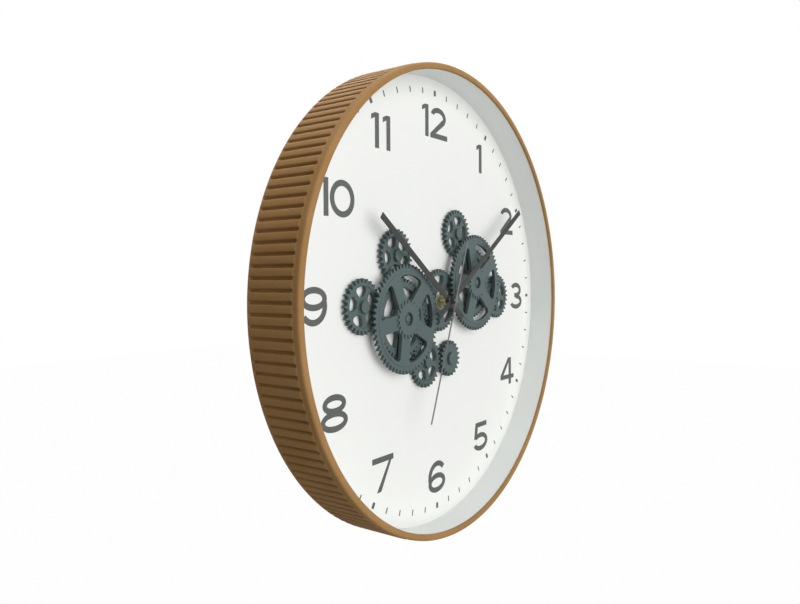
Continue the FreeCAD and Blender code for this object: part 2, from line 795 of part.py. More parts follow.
def bar(corners):
    points = [FreeCAD.Vector(across, up, 0) for across, up in corners]
    return Part.Face(Part.makePolygon(points + points[:1]))


def glyph(digit):
    """The solid of one digit, for a numeral height of one, and its left and right ends."""
    faces = [stroke_band(*curve) for curve in CURVE_SHARES[digit]]
    faces += [bar(corners) for corners in BAR_SHARES.get(digit, [])]
    thickness = FreeCAD.Vector(0, 0, measure("print_thickness") / measure("numeral_height"))
    strokes = [face.extrude(thickness) for face in faces]
    joined = strokes[0].fuse(strokes[1:]).removeSplitter() if len(strokes) > 1 else strokes[0]
    return joined, END_SHARES.get(digit, (0, WIDE_SHARE))


def numeral(hour):
    """The printed solid of one hour's numeral, upright and centred on its place."""
    height = measure("numeral_height")
    gap = measure({10: "ten_gap", 11: "eleven_gap", 12: "twelve_gap"}.get(hour, "0")) / height
    solids = []
    reach = 0
    for digit in [int(letter) for letter in str(hour)]:
        solid, (left, right) = glyph(digit)
        solid.translate(FreeCAD.Vector(reach - left, 0, 0))
        solids.append(solid)
        reach += right - left + gap
    reach -= gap
    inward = measure("ten_inward_shift") if hour == 10 else 0
    centre = on_dial(measure("numeral_radius"), FULL_TURN * hour / measure("hour_count"))
    for solid in solids:
        solid.translate(FreeCAD.Vector(-reach / 2, -HEIGHT_SHARE / 2, 0))
        solid.scale(height)
        solid.rotate(FreeCAD.Vector(), FreeCAD.Vector(1, 0, 0), 90)
        solid.translate(centre + FreeCAD.Vector(inward, 0, 0))
    return solids


def printed_numerals():
    hours = range(1, int(measure("hour_count")) + 1)
    solids = [solid for hour in hours for solid in numeral(hour)]
    return shaped("printed_numerals", Part.makeCompound(solids))


def printed_minute_track():
    inner, outer = measure("track_inner_radius"), measure("track_outer_radius")
    thickness = measure("print_thickness")
    strokes = []
    ticks = int(measure("tick_count"))
    for tick in range(ticks):
        hour = tick % (ticks // int(measure("hour_count"))) == 0
        width = measure("hour_tick_width" if hour else "minute_tick_width")
        corner = FreeCAD.Vector(-width / 2, -thickness, inner)
        stroke = Part.makeBox(width, thickness, outer - inner, corner)
        stroke.rotate(FreeCAD.Vector(), FreeCAD.Vector(0, 1, 0), 360 * tick / ticks)
        strokes.append(stroke)
    return shaped("printed_minute_track", Part.makeCompound(strokes))


# Hanger

def hanger_block():
    left, right = "-hanger_block_width / 2", "hanger_block_width / 2"
    low, high = "hanger_height - hanger_block_below", "hanger_height + hanger_block_above"
    solid = block("hanger_solid", left, right, DIAL_BACK, PLATE_FRONT, low, high)
    pocket_low = "hanger_height - hanger_pocket_below"
    pocket_high = "hanger_height + hanger_pocket_above"
    pocket_front = f"{PLATE_FRONT} - hanger_pocket_depth"
    sides = ("-hanger_pocket_width / 2", "hanger_pocket_width / 2")
    pocket = block("hanger_pocket", *sides, pocket_front, f"{PLATE_FRONT} + overrun",
                   pocket_low, pocket_high)
    end = f"{PLATE_FRONT} - hanger_screw_length - screw_clearance"
    holes = [drum(f"hanger_hole_{index}", "hanger_screw_radius + screw_clearance", end,
                  f"{PLATE_FRONT} + overrun", at) for index, at in enumerate(hanger_screw_places())]
    return cut("hanger_block", solid, pocket, *holes)


def hanger_screw_places():
    return [(f"{side} * hanger_screw_offset", "hanger_height") for side in (-1, 1)]


def hanger_plate():
    body, sketch = flat_body("hanger_sheet")
    half_width = "hanger_block_width / 2 - hanger_plate_margin"
    below = "hanger_block_below - hanger_plate_margin"
    sketch_rectangle(sketch, half_width, below, "hanger_block_above - hanger_plate_margin")
    sketch_circle(sketch, "keyhole_radius")
    pad(body, sketch, "hanger_plate_thickness")
    place(body, "0", "case_back_reach", "hanger_height")
    ends = (f"{PLATE_FRONT} - overrun", "case_back_reach + overrun")
    slot_top = "hanger_height + keyhole_slot_rise"
    slot = block("keyhole_slot", "-keyhole_slot_width / 2", "keyhole_slot_width / 2", *ends,
                 "hanger_height", slot_top)
    slot_end = drum("keyhole_slot_end", "keyhole_slot_width / 2", *ends, ("0", slot_top))
    sinks = [countersink(f"sink_{index}", "screw_clearance", at)
             for index, at in enumerate(hanger_screw_places())]
    return cut("hanger_plate", body, slot, slot_end, *sinks)


def countersink(name, clearance, at):
    """A screw's flat head with its neck, or the hole for it when there is a clearance."""
    head_front = "case_back_reach - hanger_screw_head_height"
    head = cone(name + "_head", f"hanger_screw_radius + {clearance}",
                f"hanger_screw_head_radius + {clearance}", head_front, "case_back_reach", at)
    neck = drum(name + "_neck", f"hanger_screw_radius + {clearance}", PLATE_FRONT, head_front, at)
    return fuse(name, head, neck)


def hanger_screws():
    screws = []
    for index, at in enumerate(hanger_screw_places()):
        top = countersink(f"hanger_screw_top_{index}", "0", at)
        shank = drum(f"hanger_shank_{index}", "hanger_screw_radius", f"{PLATE_FRONT} - hanger_screw_length",
                     PLATE_FRONT, at)
        screws.append(fuse(f"hanger_screw_{index}", top, shank))
    return group("hanger_screws", *screws)


# Gears in front of the dial

def running(radius):
    """The bore that turns freely on a post of that radius."""
    return f"{radius} + running_clearance"


def small_gear(name, phase):
    home, way, angle = SMALL_GEARS[name]
    at = SMALL_PLACES[name]
    disc = toothed(name + "_disc", "small_teeth", "gear_module", phase, running("small_post_radius"),
                   GEAR_FRONT, GEAR_BACK, at, ("small", angle))
    recess = tube(name + "_recess", "small_recess_outer_radius", "small_recess_inner_radius",
                  GEAR_FRONT, f"{GEAR_FRONT} + small_recess_depth", at)
    return cut(name, disc, recess)


def centre_gear(phase):
    return toothed("centre_gear", "centre_teeth", "gear_module", phase, running("sleeve_radius"),
                   GEAR_FRONT, GEAR_BACK, AXIS, ("centre", "centre_window_angle"))


def wheel_set(side, phase):
    """The inner wheel, the big wheel in front of it and the pinion ring on its hub."""
    at = BIG_PLACES[side]
    bore = running("big_post_radius")
    inner = toothed(f"{side}_inner_disc", "inner_teeth", "gear_module", phase, bore, GEAR_FRONT, GEAR_BACK,
                    at, ("inner", f"{side}_inner_window_angle"))
    spacer = tube(f"{side}_spacer", "hub_spacer_radius", bore, WHEEL_BACK, GEAR_FRONT, at)
    windows = ("wheel", f"{side}_window_angle")
    rim = toothed(f"{side}_rim", "wheel_teeth", "gear_module", phase, "hub_recess_radius", RIM_FRONT,
                  WHEEL_BACK, at, windows)
    web = plate(f"{side}_web", circle_outline("wheel_web_radius"), "hub_recess_radius", WEB_FRONT, RIM_FRONT,
                at, windows)
    hub = tube(f"{side}_hub", "hub_spacer_radius", bore, RECESS_FLOOR, WHEEL_BACK, at)
    ring = toothed(f"{side}_ring", "hub_pinion_teeth", "gear_module", phase, "hub_recess_radius",
                   PINION_FRONT, WEB_FRONT, at)
    disc = tube(f"{side}_hub_disc", "hub_disc_radius", "hub_recess_radius", HUB_FRONT, PINION_FRONT, at)
    return (fuse(f"{side}_inner_wheel", inner, spacer), fuse(f"{side}_big_wheel", rim, web, hub),
            fuse(f"{side}_front_pinion", ring, disc))


def big_wheel_posts():
    end = f"{RECESS_FLOOR} - cap_gap - big_post_end"
    posts = [post(f"{side}_post", "big_post_radius", "big_post_flange_radius", end, at)
             for side, at in BIG_PLACES.items()]
    return group("big_wheel_posts", *posts)


def small_gear_posts():
    end = f"{GEAR_FRONT} - cap_gap - small_post_end"
    posts = [post(f"{name}_post", "small_post_radius", "small_post_flange_radius", end, at)
             for name, at in SMALL_PLACES.items()]
    return group("small_gear_posts", *posts)


def post(name, radius, flange_radius, end, at):
    """A post with a flange on the dial's face and a threaded tail for its nut."""
    tail = f"{DIAL_BACK} + post_nut_depth + post_thread_reach"
    bar = drum(name + "_bar", radius, end, tail, at)
    return fuse(name, bar, drum(name + "_flange", flange_radius, "-post_flange_height", "0", at))


def cap(name, radius, seat, depth, post_radius, post_end, at):
    """A push-on cap with a blind bore over the end of its post."""
    solid = drum(name + "_solid", radius, f"{seat} - {depth}", seat, at)
    bore = drum(name + "_socket", f"{post_radius} + press_clearance", f"{seat} - {post_end}",
                f"{seat} + overrun", at)
    return cut(name, solid, bore)


def big_wheel_caps():
    seat = f"{RECESS_FLOOR} - cap_gap"
    caps = [cap(f"{side}_cap", "big_cap_radius", seat, "big_cap_depth", "big_post_radius",
                "big_post_end", at) for side, at in BIG_PLACES.items()]
    return group("big_wheel_caps", *caps)


def small_gear_caps():
    seat = f"{GEAR_FRONT} - cap_gap"
    caps = [cap(f"{name}_cap", "small_cap_radius", seat, "small_cap_depth", "small_post_radius",
                "small_post_end", at) for name, at in SMALL_PLACES.items()]
    return group("small_gear_caps", *caps)


def post_nuts():
    nuts = []
    for name, at in {**SMALL_PLACES, **BIG_PLACES}.items():
        small = name in SMALL_PLACES
        radius = "small_post_radius" if small else "big_post_radius"
        corner = f"post_nut_radius + {radius} - small_post_radius"
        back = f"{DIAL_BACK} + post_nut_depth"
        nut = hexagon(f"{name}_nut_solid", corner, DIAL_BACK, back, at)
        hole = drum(f"{name}_nut_hole", f"{radius} + press_clearance", f"{DIAL_BACK} - overrun",
                    f"{back} + overrun", at)
        nuts.append(cut(f"{name}_nut", nut, hole))
    return group("post_nuts", *nuts)


# Bush, sleeve, washer, nut and hands on the axis

def threaded_bush():
    box_floor = f"{MOVEMENT_FRONT} + unit_wall"
    bar = drum("bush_bar", "bush_radius", "-bush_front_reach", box_floor)
    flange = drum("bush_flange", "bush_flange_radius", box_floor, f"{box_floor} + bush_flange_depth")
    bore = drum("bush_bore", "hour_tube_radius + fit_clearance", "-bush_front_reach - overrun",
                f"{box_floor} + bush_flange_depth + overrun")
    return cut("threaded_bush", fuse("bush_solid", bar, flange), bore)


def idler_sleeve():
    bar = drum("sleeve_bar", "sleeve_radius", "-sleeve_front_reach", "0")
    flange = drum("sleeve_flange", "sleeve_flange_radius", "-post_flange_height", "0")
    bore = drum("sleeve_bore", "bush_radius + sleeve_bore_clearance", "-sleeve_front_reach - overrun",
                "overrun")
    return cut("idler_sleeve", fuse("sleeve_solid", bar, flange), bore)


def bush_washer():
    front = "-sleeve_front_reach - washer_thickness"
    return tube("bush_washer", "washer_radius", "bush_radius + sleeve_bore_clearance", front,
                "-sleeve_front_reach")


def bush_nut():
    back = "-sleeve_front_reach - washer_thickness"
    front = f"{back} - nut_depth"
    nut = hexagon("bush_nut_solid", "nut_across_flats / 2 / cos(30)", front, back)
    hole = drum("bush_nut_hole", "bush_radius + press_clearance", f"{front} - overrun", f"{back} + overrun")
    return cut("bush_nut", nut, hole)


def hand(name, prefix, collar, bore):
    """A straight hand that points along its angle, with a collar on the front of its middle."""
    body, sketch = flat_body(name + "_blade")
    sketch_rectangle(sketch, f"{prefix}_width / 2", f"{prefix}_tail", f"{prefix}_length")
    pad(body, sketch, f"{prefix}_thickness")
    body.Placement = FreeCAD.Placement(FreeCAD.Vector(), FreeCAD.Rotation(FreeCAD.Vector(0, 1, 0), 1))
    bind(body, "Placement.Rotation.Angle", f"{prefix}_angle")
    place(body, "0", f"-{prefix}_reach", "0")
    return cut(name, fuse(name + "_solid", body, *collar), bore)


def hour_hand():
    front = "-hour_hand_reach - hour_hand_thickness"
    collar = drum("hour_collar", "hour_collar_radius", f"{front} - hour_collar_depth", "-hour_hand_reach")
    bore = drum("hour_hand_bore", "hour_tube_radius - hour_shoulder_step + press_clearance",
                f"{front} - hour_collar_depth - overrun", "-hour_hand_reach + overrun")
    return hand("hour_hand", "hour_hand", [collar], bore)


def minute_hand():
    front = "-minute_hand_reach - minute_hand_thickness"
    collar = drum("minute_collar", "minute_collar_radius", f"{front} - minute_collar_depth",
                  "-minute_hand_reach")
    bore = drum("minute_hand_bore", "minute_tube_radius - minute_shoulder_step + press_clearance",
                f"{front} - minute_collar_depth - overrun", "-minute_hand_reach + overrun")
    return hand("minute_hand", "minute_hand", [collar], bore)


def seconds_hand():
    front = "-seconds_hand_reach - seconds_hand_thickness"
    cap_front = drum("seconds_cap", "seconds_cap_radius", f"{front} - seconds_cap_height",
                     "-seconds_hand_reach")
    pipe = drum("seconds_pipe", "seconds_pipe_radius", "-seconds_hand_reach",
                "-seconds_hand_reach + seconds_pipe_depth")
    bore = drum("seconds_hand_bore", "seconds_arbor_radius + press_clearance", front,
                "-seconds_hand_reach + seconds_pipe_depth + overrun")
    return hand("seconds_hand", "seconds_hand", [cap_front, pipe], bore)


# Plastic boxes that hold the movement and the gear motor

MOTOR_MIDDLE = ("motor_unit_x", "-motor_unit_below")
HALF_UNIT = "unit_width / 2"
BAY_TOP = f"-{HALF_UNIT} + unit_wall + battery_bay_height"
CAVITY_BOTTOM = f"{BAY_TOP} + unit_wall"


def unit_depths(front):
    """The inner face of a box's front wall, the front of its cover, and its back."""
    return f"{front} + unit_wall", f"{front} + unit_depth - unit_wall", f"{front} + unit_depth"


def unit_case(name, middle, front):
    across, height = middle
    floor, cover_front, back = unit_depths(front)
    sides = (f"{across} - {HALF_UNIT}", f"{across} + {HALF_UNIT}")
    inner = (f"{sides[0]} + unit_wall", f"{sides[1]} - unit_wall")
    solid = block(name + "_solid", *sides, front, cover_front, f"{height} - {HALF_UNIT}",
                  f"{height} + {HALF_UNIT}")
    bay = block(name + "_bay", *inner, floor, f"{cover_front} + overrun",
                f"{height} - {HALF_UNIT} + unit_wall", f"{height} + {BAY_TOP}")
    cavity = block(name + "_cavity", *inner, floor, f"{cover_front} + overrun",
                   f"{height} + {CAVITY_BOTTOM}", f"{height} + {HALF_UNIT} - unit_wall")
    return solid, [bay, cavity]


def unit_cover(name, middle, front):
    across, height = middle
    floor, cover_front, back = unit_depths(front)
    return block(name + "_plate", f"{across} - {HALF_UNIT}", f"{across} + {HALF_UNIT}", cover_front, back,
                 f"{height} + {BAY_TOP}", f"{height} + {HALF_UNIT}")


def battery(name, middle, front):
    """A cell that lies across its bay, with its nub to the right."""
    across, height = middle
    floor, cover_front, back = unit_depths(front)
    depth = f"{floor} + battery_gap + battery_radius"
    level = f"{height} - {HALF_UNIT} + unit_wall + battery_bay_height / 2"
    can = document.addObject("Part::Cylinder", name + "_can")
    nub = document.addObject("Part::Cylinder", name + "_nub")
    for piece in (can, nub):
        sideways = FreeCAD.Rotation(FreeCAD.Vector(0, 1, 0), 90)
        piece.Placement = FreeCAD.Placement(FreeCAD.Vector(), sideways)
    bind(can, "Radius", "battery_radius")
    bind(can, "Height", "battery_length - battery_nub_length")
    place(can, f"{across} - battery_length / 2", depth, level)
    bind(nub, "Radius", "battery_nub_radius")
    bind(nub, "Height", "battery_nub_length")
    place(nub, f"{across} + battery_length / 2 - battery_nub_length", depth, level)
    return fuse(name, can, nub)


def contacts(name, middle, front):
    """The two contact plates of a bay, each with a dimple that meets the cell."""
    across, height = middle
    floor, cover_front, back = unit_depths(front)
    depth = f"{floor} + battery_gap + battery_radius"
    level = f"{height} - {HALF_UNIT} + unit_wall + battery_bay_height / 2"
    pieces = []
    for label, side in (("left", -1), ("right", 1)):
        wall = f"{across} + {side} * ({HALF_UNIT} - unit_wall)"
        plate_end = f"{wall} - {side} * contact_plate_thickness"
        cell_end = f"{across} + {side} * battery_length / 2"
        plate = document.addObject("Part::Cylinder", f"{name}_{label}_plate")
        dimple = document.addObject("Part::Cylinder", f"{name}_{label}_dimple")
        ends = ((plate, "contact_plate_radius", wall, plate_end), (dimple, "contact_dimple_radius",
                                                                  plate_end, cell_end))
        for piece, radius, outer, inner in ends:
            sideways = FreeCAD.Rotation(FreeCAD.Vector(0, 1, 0), 90)
            piece.Placement = FreeCAD.Placement(FreeCAD.Vector(), sideways)
            bind(piece, "Radius", radius)
            bind(piece, "Height", f"{side} * (({outer}) - ({inner}))")
            place(piece, inner if side > 0 else outer, depth, level)
        pieces.append(fuse(f"{name}_{label}", plate, dimple))
    return pieces


# Movement

MOTION = ("hour_module / 2 * (hour_wheel_teeth + motion_pinion_teeth)", "0")
THIRD = ("0", "centre_wheel_module / 2 * (centre_wheel_teeth + third_pinion_teeth)")
INTERMEDIATE = ("-seconds_module / 2 * (seconds_wheel_teeth + intermediate_pinion_teeth)", "0")
ROTOR = polar(INTERMEDIATE, "rotor_module / 2 * (intermediate_wheel_teeth + rotor_pinion_teeth)",
              "rotor_direction")
MOVEMENT_FLOOR, MOVEMENT_COVER_FRONT, MOVEMENT_BACK = unit_depths(MOVEMENT_FRONT)


def wheel_layer(name, teeth, module, phase, bore, front, thickness, at):
    return toothed(name, teeth, module, phase, bore, front, f"{front} + {thickness}", at, None, True)


def pivot(name, at, front=MOVEMENT_FLOOR, back=MOVEMENT_COVER_FRONT):
    return drum(name, "pivot_radius", front, back, at)


def movement_case():
    solid, hollows = unit_case("movement_case", AXIS, MOVEMENT_FRONT)
    hole = drum("movement_bush_hole", "bush_radius + bush_hole_clearance", f"{MOVEMENT_FRONT} - overrun",
                f"{MOVEMENT_FLOOR} + overrun")
    shell = cut("movement_shell", solid, hole, *hollows)
    pins = [pivot("third_pin", THIRD), pivot("intermediate_pin", INTERMEDIATE)]
    pins.append(pivot("motion_pin", MOTION, MOVEMENT_FLOOR,
                      "cannon_depth + cannon_thickness - fit_clearance"))
    stator_post = drum("stator_post", "stator_post_radius", MOVEMENT_FLOOR, "stator_depth",
                       (ROTOR[0], f"{ROTOR[1]} + stator_post_rise"))
    return fuse("movement_case", shell, *pins, stator_post)


def movement_cover():
    plate = unit_cover("movement_cover", AXIS, MOVEMENT_FRONT)
    ends = (f"{MOVEMENT_COVER_FRONT} - overrun", f"{MOVEMENT_BACK} + overrun")
    stem_hole = drum("stem_hole", "knob_stem_radius + fit_clearance", *ends, MOTION)
    seconds_hole = drum("seconds_pivot_hole", "seconds_arbor_radius + fit_clearance", *ends)
    rotor_hole = drum("rotor_pivot_hole", "pivot_radius + fit_clearance", *ends, ROTOR)
    return cut("movement_cover", plate, stem_hole, seconds_hole, rotor_hole)


def movement_gasket():
    return tube("movement_gasket", "gasket_radius", "bush_radius + bush_hole_clearance", DIAL_BACK,
                MOVEMENT_FRONT)


def hand_tube(name, radius, step, bore, hand, back):
    """A tube with a thinner nose in front, where its hand is pressed on up to the shoulder."""
    shoulder = f"-{hand}_reach"
    nose_front = f"{shoulder} - {hand}_thickness - {name}_collar_depth"
    stem = tube(f"{name}_tube", radius, bore, shoulder, back)
    return [stem, tube(f"{name}_nose", f"{radius} - {step}", bore, nose_front, shoulder)]


def hour_wheel(phase):
    bore = "minute_tube_radius + fit_clearance"
    layer = wheel_layer("hour_teeth", "hour_wheel_teeth", "hour_module", phase, bore, "hour_wheel_depth",
                        "hour_wheel_thickness", AXIS)
    stem = hand_tube("hour", "hour_tube_radius", "hour_shoulder_step", bore, "hour_hand",
                     "hour_wheel_depth + hour_wheel_thickness")
    return fuse("hour_wheel", layer, *stem)


def minute_wheel(cannon_phase, wheel_phase):
    bore = "seconds_arbor_radius + fit_clearance"
    cannon = wheel_layer("cannon_pinion", "cannon_teeth", "cannon_module", cannon_phase, bore,
                         "cannon_depth", "cannon_thickness", AXIS)
    layer = wheel_layer("centre_wheel", "centre_wheel_teeth", "centre_wheel_module", wheel_phase, bore,
                        "centre_wheel_depth", "wheel_layer_thickness", AXIS)
    stem = hand_tube("minute", "minute_tube_radius", "minute_shoulder_step", bore, "minute_hand",
                     "centre_wheel_depth + wheel_layer_thickness")
    return fuse("minute_wheel", cannon, layer, *stem)


def seconds_wheel(pinion_phase, wheel_phase):
    pinion = wheel_layer("seconds_pinion", "seconds_pinion_teeth", "third_module", pinion_phase, None,
                         "third_wheel_depth", "wheel_layer_thickness", AXIS)
    layer = wheel_layer("seconds_teeth", "seconds_wheel_teeth", "seconds_module", wheel_phase, None,
                        "seconds_wheel_depth", "wheel_layer_thickness", AXIS)
    arbor = drum("seconds_arbor", "seconds_arbor_radius", "-seconds_hand_reach - seconds_hand_thickness",
                 f"{MOVEMENT_BACK} - fit_clearance")
    collar = drum("seconds_sleeve", "arbor_sleeve_radius", "third_wheel_depth + wheel_layer_thickness",
                  "seconds_wheel_depth")
    return fuse("seconds_wheel", pinion, layer, arbor, collar)


PIN_BORE = "pivot_radius + fit_clearance"


def pinned_wheel(name, pinion, wheel, at):
    """A pinion and the wheel behind it, joined by a sleeve that turns on a fixed pin.

    The pinion and the wheel each give their teeth, module, tooth angle, depth and thickness.
    """
    front = wheel_layer(name + "_pinion", *pinion[:3], PIN_BORE, *pinion[3:], at)
    back = wheel_layer(name + "_disc", *wheel[:3], PIN_BORE, *wheel[3:], at)
    sleeve = tube(name + "_sleeve", "arbor_sleeve_radius", PIN_BORE, f"{pinion[3]} + {pinion[4]}",
                  wheel[3], at)
    return [front, back, sleeve]


def third_wheel(pinion_phase, wheel_phase):
    pinion = ("third_pinion_teeth", "centre_wheel_module", pinion_phase, "centre_wheel_depth",
              "wheel_layer_thickness")
    wheel = ("third_wheel_teeth", "third_module", wheel_phase, "third_wheel_depth", "wheel_layer_thickness")
    return fuse("third_wheel", *pinned_wheel("third", pinion, wheel, THIRD))


def intermediate_wheel(pinion_phase, wheel_phase):
    pinion = ("intermediate_pinion_teeth", "seconds_module", pinion_phase, "seconds_wheel_depth",
              "wheel_layer_thickness")
    wheel = ("intermediate_wheel_teeth", "rotor_module", wheel_phase, "intermediate_wheel_depth",
             "rotor_layer_thickness")
    return fuse("intermediate_wheel", *pinned_wheel("intermediate", pinion, wheel, INTERMEDIATE))


def stepper_rotor(phase):
    pinion = wheel_layer("rotor_pinion", "rotor_pinion_teeth", "rotor_module", phase, None,
                         "intermediate_wheel_depth", "rotor_layer_thickness", ROTOR)
    magnet = drum("rotor_magnet", "rotor_radius", "rotor_depth", "rotor_depth + rotor_length", ROTOR)
    arbor = drum("rotor_arbor", "pivot_radius", f"{MOVEMENT_FLOOR} + fit_clearance",
                 f"{MOVEMENT_BACK} - fit_clearance", ROTOR)
    return fuse("stepper_rotor", pinion, magnet, arbor)


def motion_wheel(wheel_phase, pinion_phase):
    """The motion pinion and wheel, with a stem through the cover for the setting knob."""
    pinion = ("motion_pinion_teeth", "hour_module", pinion_phase, "hour_wheel_depth", "hour_wheel_thickness")
    wheel = ("motion_wheel_teeth", "cannon_module", wheel_phase, "cannon_depth", "cannon_thickness")
    stem_front = "cannon_depth + cannon_thickness"
    stem_back = f"{MOVEMENT_BACK} + knob_gap + knob_height / 2"
    stem = drum("knob_stem", "knob_stem_radius", stem_front, stem_back, MOTION)
    return fuse("motion_wheel", stem, *pinned_wheel("motion", pinion, wheel, MOTION))


def set_knob():
    front = f"{MOVEMENT_BACK} + knob_gap"
    knob = drum("knob_solid", "knob_radius", front, f"{front} + knob_height", MOTION)
    socket = drum("knob_socket", "knob_stem_radius + press_clearance", f"{front} - overrun",
                  f"{front} + knob_height / 2", MOTION)
    return cut("set_knob", knob, socket)


def circuit_board():
    return block("circuit_board", "-board_left", "board_right", MOVEMENT_FLOOR,
                 f"{MOVEMENT_FLOOR} + board_thickness", "board_bottom", "board_top")


def stator_coil():
    """The iron plate round the rotor, with the coil across its upper end."""
    across, height = ROTOR
    plate = block("stator_plate", f"{across} - stator_half_width", f"{across} + stator_half_width",
                  "stator_depth", "stator_depth + stator_thickness", f"{height} - stator_below",
                  f"{height} + stator_above")
    hole = drum("stator_hole", "rotor_radius + stator_hole_clearance", "stator_depth - overrun",
                "stator_depth + stator_thickness + overrun", ROTOR)
    coil = document.addObject("Part::Cylinder", "stator_winding")
    coil.Placement = FreeCAD.Placement(FreeCAD.Vector(), FreeCAD.Rotation(FreeCAD.Vector(0, 1, 0), 90))
    bind(coil, "Radius", "coil_radius")
    bind(coil, "Height", "coil_left - coil_right")
    place(coil, "-coil_left", "stator_depth + stator_thickness / 2", "coil_height")
    return cut("stator_coil", fuse("stator_solid", plate, coil), hole)


# Gear motor

MOTOR_FRONT = DIAL_BACK
MOTOR_FLOOR, MOTOR_COVER_FRONT, MOTOR_BACK = unit_depths(MOTOR_FRONT)
REDUCTION = polar(DRIVE, "output_module / 2 * (output_teeth + reduction_pinion_teeth)",
                  "reduction_direction")
MOTOR = polar(REDUCTION, "output_module / 2 * (reduction_teeth + motor_pinion_teeth)", "motor_direction")


def motor_screw_places():
    """The four corners of the gear motor's cavity, set in by the screws' inset."""
    across, height = MOTOR_MIDDLE
    inset = "unit_wall + motor_screw_inset"
    levels = (f"{height} + {CAVITY_BOTTOM} + motor_screw_inset", f"{height} + {HALF_UNIT} - ({inset})")
    sides = (f"{across} - {HALF_UNIT} + {inset}", f"{across} + {HALF_UNIT} - ({inset})")
    return [(side, level) for level in levels for side in sides]


def motor_case():
    solid, hollows = unit_case("motor_case", MOTOR_MIDDLE, MOTOR_FRONT)
    ends = (f"{MOTOR_FRONT} - overrun", f"{MOTOR_FLOOR} + overrun")
    holes = [drum("motor_shaft_hole", "output_shaft_radius + running_clearance", *ends, DRIVE)]
    for index, at in enumerate(motor_screw_places()):
        holes.append(drum(f"motor_case_hole_{index}", "motor_screw_radius + screw_clearance", *ends, at))
    shell = cut("motor_shell", solid, *holes, *hollows)
    pin = drum("reduction_pin", "pivot_radius", MOTOR_FLOOR, MOTOR_COVER_FRONT, REDUCTION)
    return fuse("motor_case", shell, pin)


def motor_cover():
    plate = unit_cover("motor_cover", MOTOR_MIDDLE, MOTOR_FRONT)
    hole = drum("output_pivot_hole", "output_shaft_radius + running_clearance",
                f"{MOTOR_COVER_FRONT} - overrun", f"{MOTOR_BACK} + overrun", DRIVE)
    return cut("motor_cover", plate, hole)


def motor_screws():
    screws = []
    for index, at in enumerate(motor_screw_places()):
        shank = drum(f"motor_shank_{index}", "motor_screw_radius", f"{MOTOR_FRONT} - motor_screw_reach",
                     MOTOR_FLOOR, at)
        head = drum(f"motor_head_{index}", "motor_screw_head_radius", MOTOR_FLOOR,
                    f"{MOTOR_FLOOR} + motor_screw_head_height", at)
        screws.append(fuse(f"motor_screw_{index}", shank, head))
    return group("motor_screws", *screws)


def output_shaft(phase):
    wheel = wheel_layer("output_disc", "output_teeth", "output_module", phase, None, "output_wheel_depth",
                        "output_wheel_thickness", DRIVE)
    front = "-gear_gap - drive_pinion_depth - drive_cap_height / 2"
    bar = drum("output_bar", "output_shaft_radius", front, f"{MOTOR_BACK} - running_clearance", DRIVE)
    return fuse("output_shaft", wheel, bar)


def drive_pinion(phase):
    return toothed("drive_pinion", "drive_teeth", "gear_module", phase,
                   "output_shaft_radius + press_clearance", "-gear_gap - drive_pinion_depth", GEAR_BACK,
                   DRIVE)


def drive_pinion_cap():
    seat = "-gear_gap - drive_pinion_depth"
    return cap("drive_pinion_cap", "drive_cap_radius", seat, "drive_cap_height", "output_shaft_radius",
               "drive_cap_height / 2", DRIVE)


def reduction_gear(pinion_phase, wheel_phase):
    pinion = ("reduction_pinion_teeth", "output_module", pinion_phase, "output_wheel_depth",
              "output_wheel_thickness")
    wheel = ("reduction_teeth", "output_module", wheel_phase, "reduction_wheel_depth",
             "reduction_wheel_thickness")
    return fuse("reduction_gear", *pinned_wheel("reduction", pinion, wheel, REDUCTION))


def motor_pinion(phase):
    pinion = wheel_layer("motor_teeth", "motor_pinion_teeth", "output_module", phase, None,
                         "reduction_wheel_depth", "reduction_wheel_thickness", MOTOR)
    shaft = drum("motor_shaft", "motor_shaft_radius", "reduction_wheel_depth",
                 f"{MOTOR_COVER_FRONT} - unit_wall", MOTOR)
    return fuse("motor_pinion", pinion, shaft)


def motor_can():
    front = "reduction_wheel_depth + reduction_wheel_thickness + motor_can_gap"
    can = drum("can_solid", "motor_can_radius", front, MOTOR_COVER_FRONT, MOTOR)
    bore = drum("can_bore", "motor_shaft_radius + fit_clearance", f"{front} - overrun",
                f"{MOTOR_COVER_FRONT} - unit_wall + fit_clearance", MOTOR)
    return cut("motor_can", can, bore)


# Tooth angles, so that every pair is in mesh at rest

LEFT_PHASE = 0
CENTRE_PHASE = meshed(LEFT_PHASE, "inner_teeth", "left_wheel_direction - 180", "centre_teeth")
RIGHT_PHASE = meshed(CENTRE_PHASE, "centre_teeth", "right_wheel_direction", "inner_teeth")
SMALL_PHASES = {}
for gear_name, (wheel_place, direction, window_angle) in SMALL_GEARS.items():
    wheel_phase = LEFT_PHASE if wheel_place is LEFT_WHEEL else RIGHT_PHASE
    SMALL_PHASES[gear_name] = meshed(wheel_phase, "inner_teeth", direction, "small_teeth")
DRIVE_PHASE = meshed(SMALL_PHASES["gear_bottom"], "small_teeth", "drive_direction", "drive_teeth")

left_inner_wheel, left_big_wheel, left_front_pinion = wheel_set("left", LEFT_PHASE)
right_inner_wheel, right_big_wheel, right_front_pinion = wheel_set("right", RIGHT_PHASE)

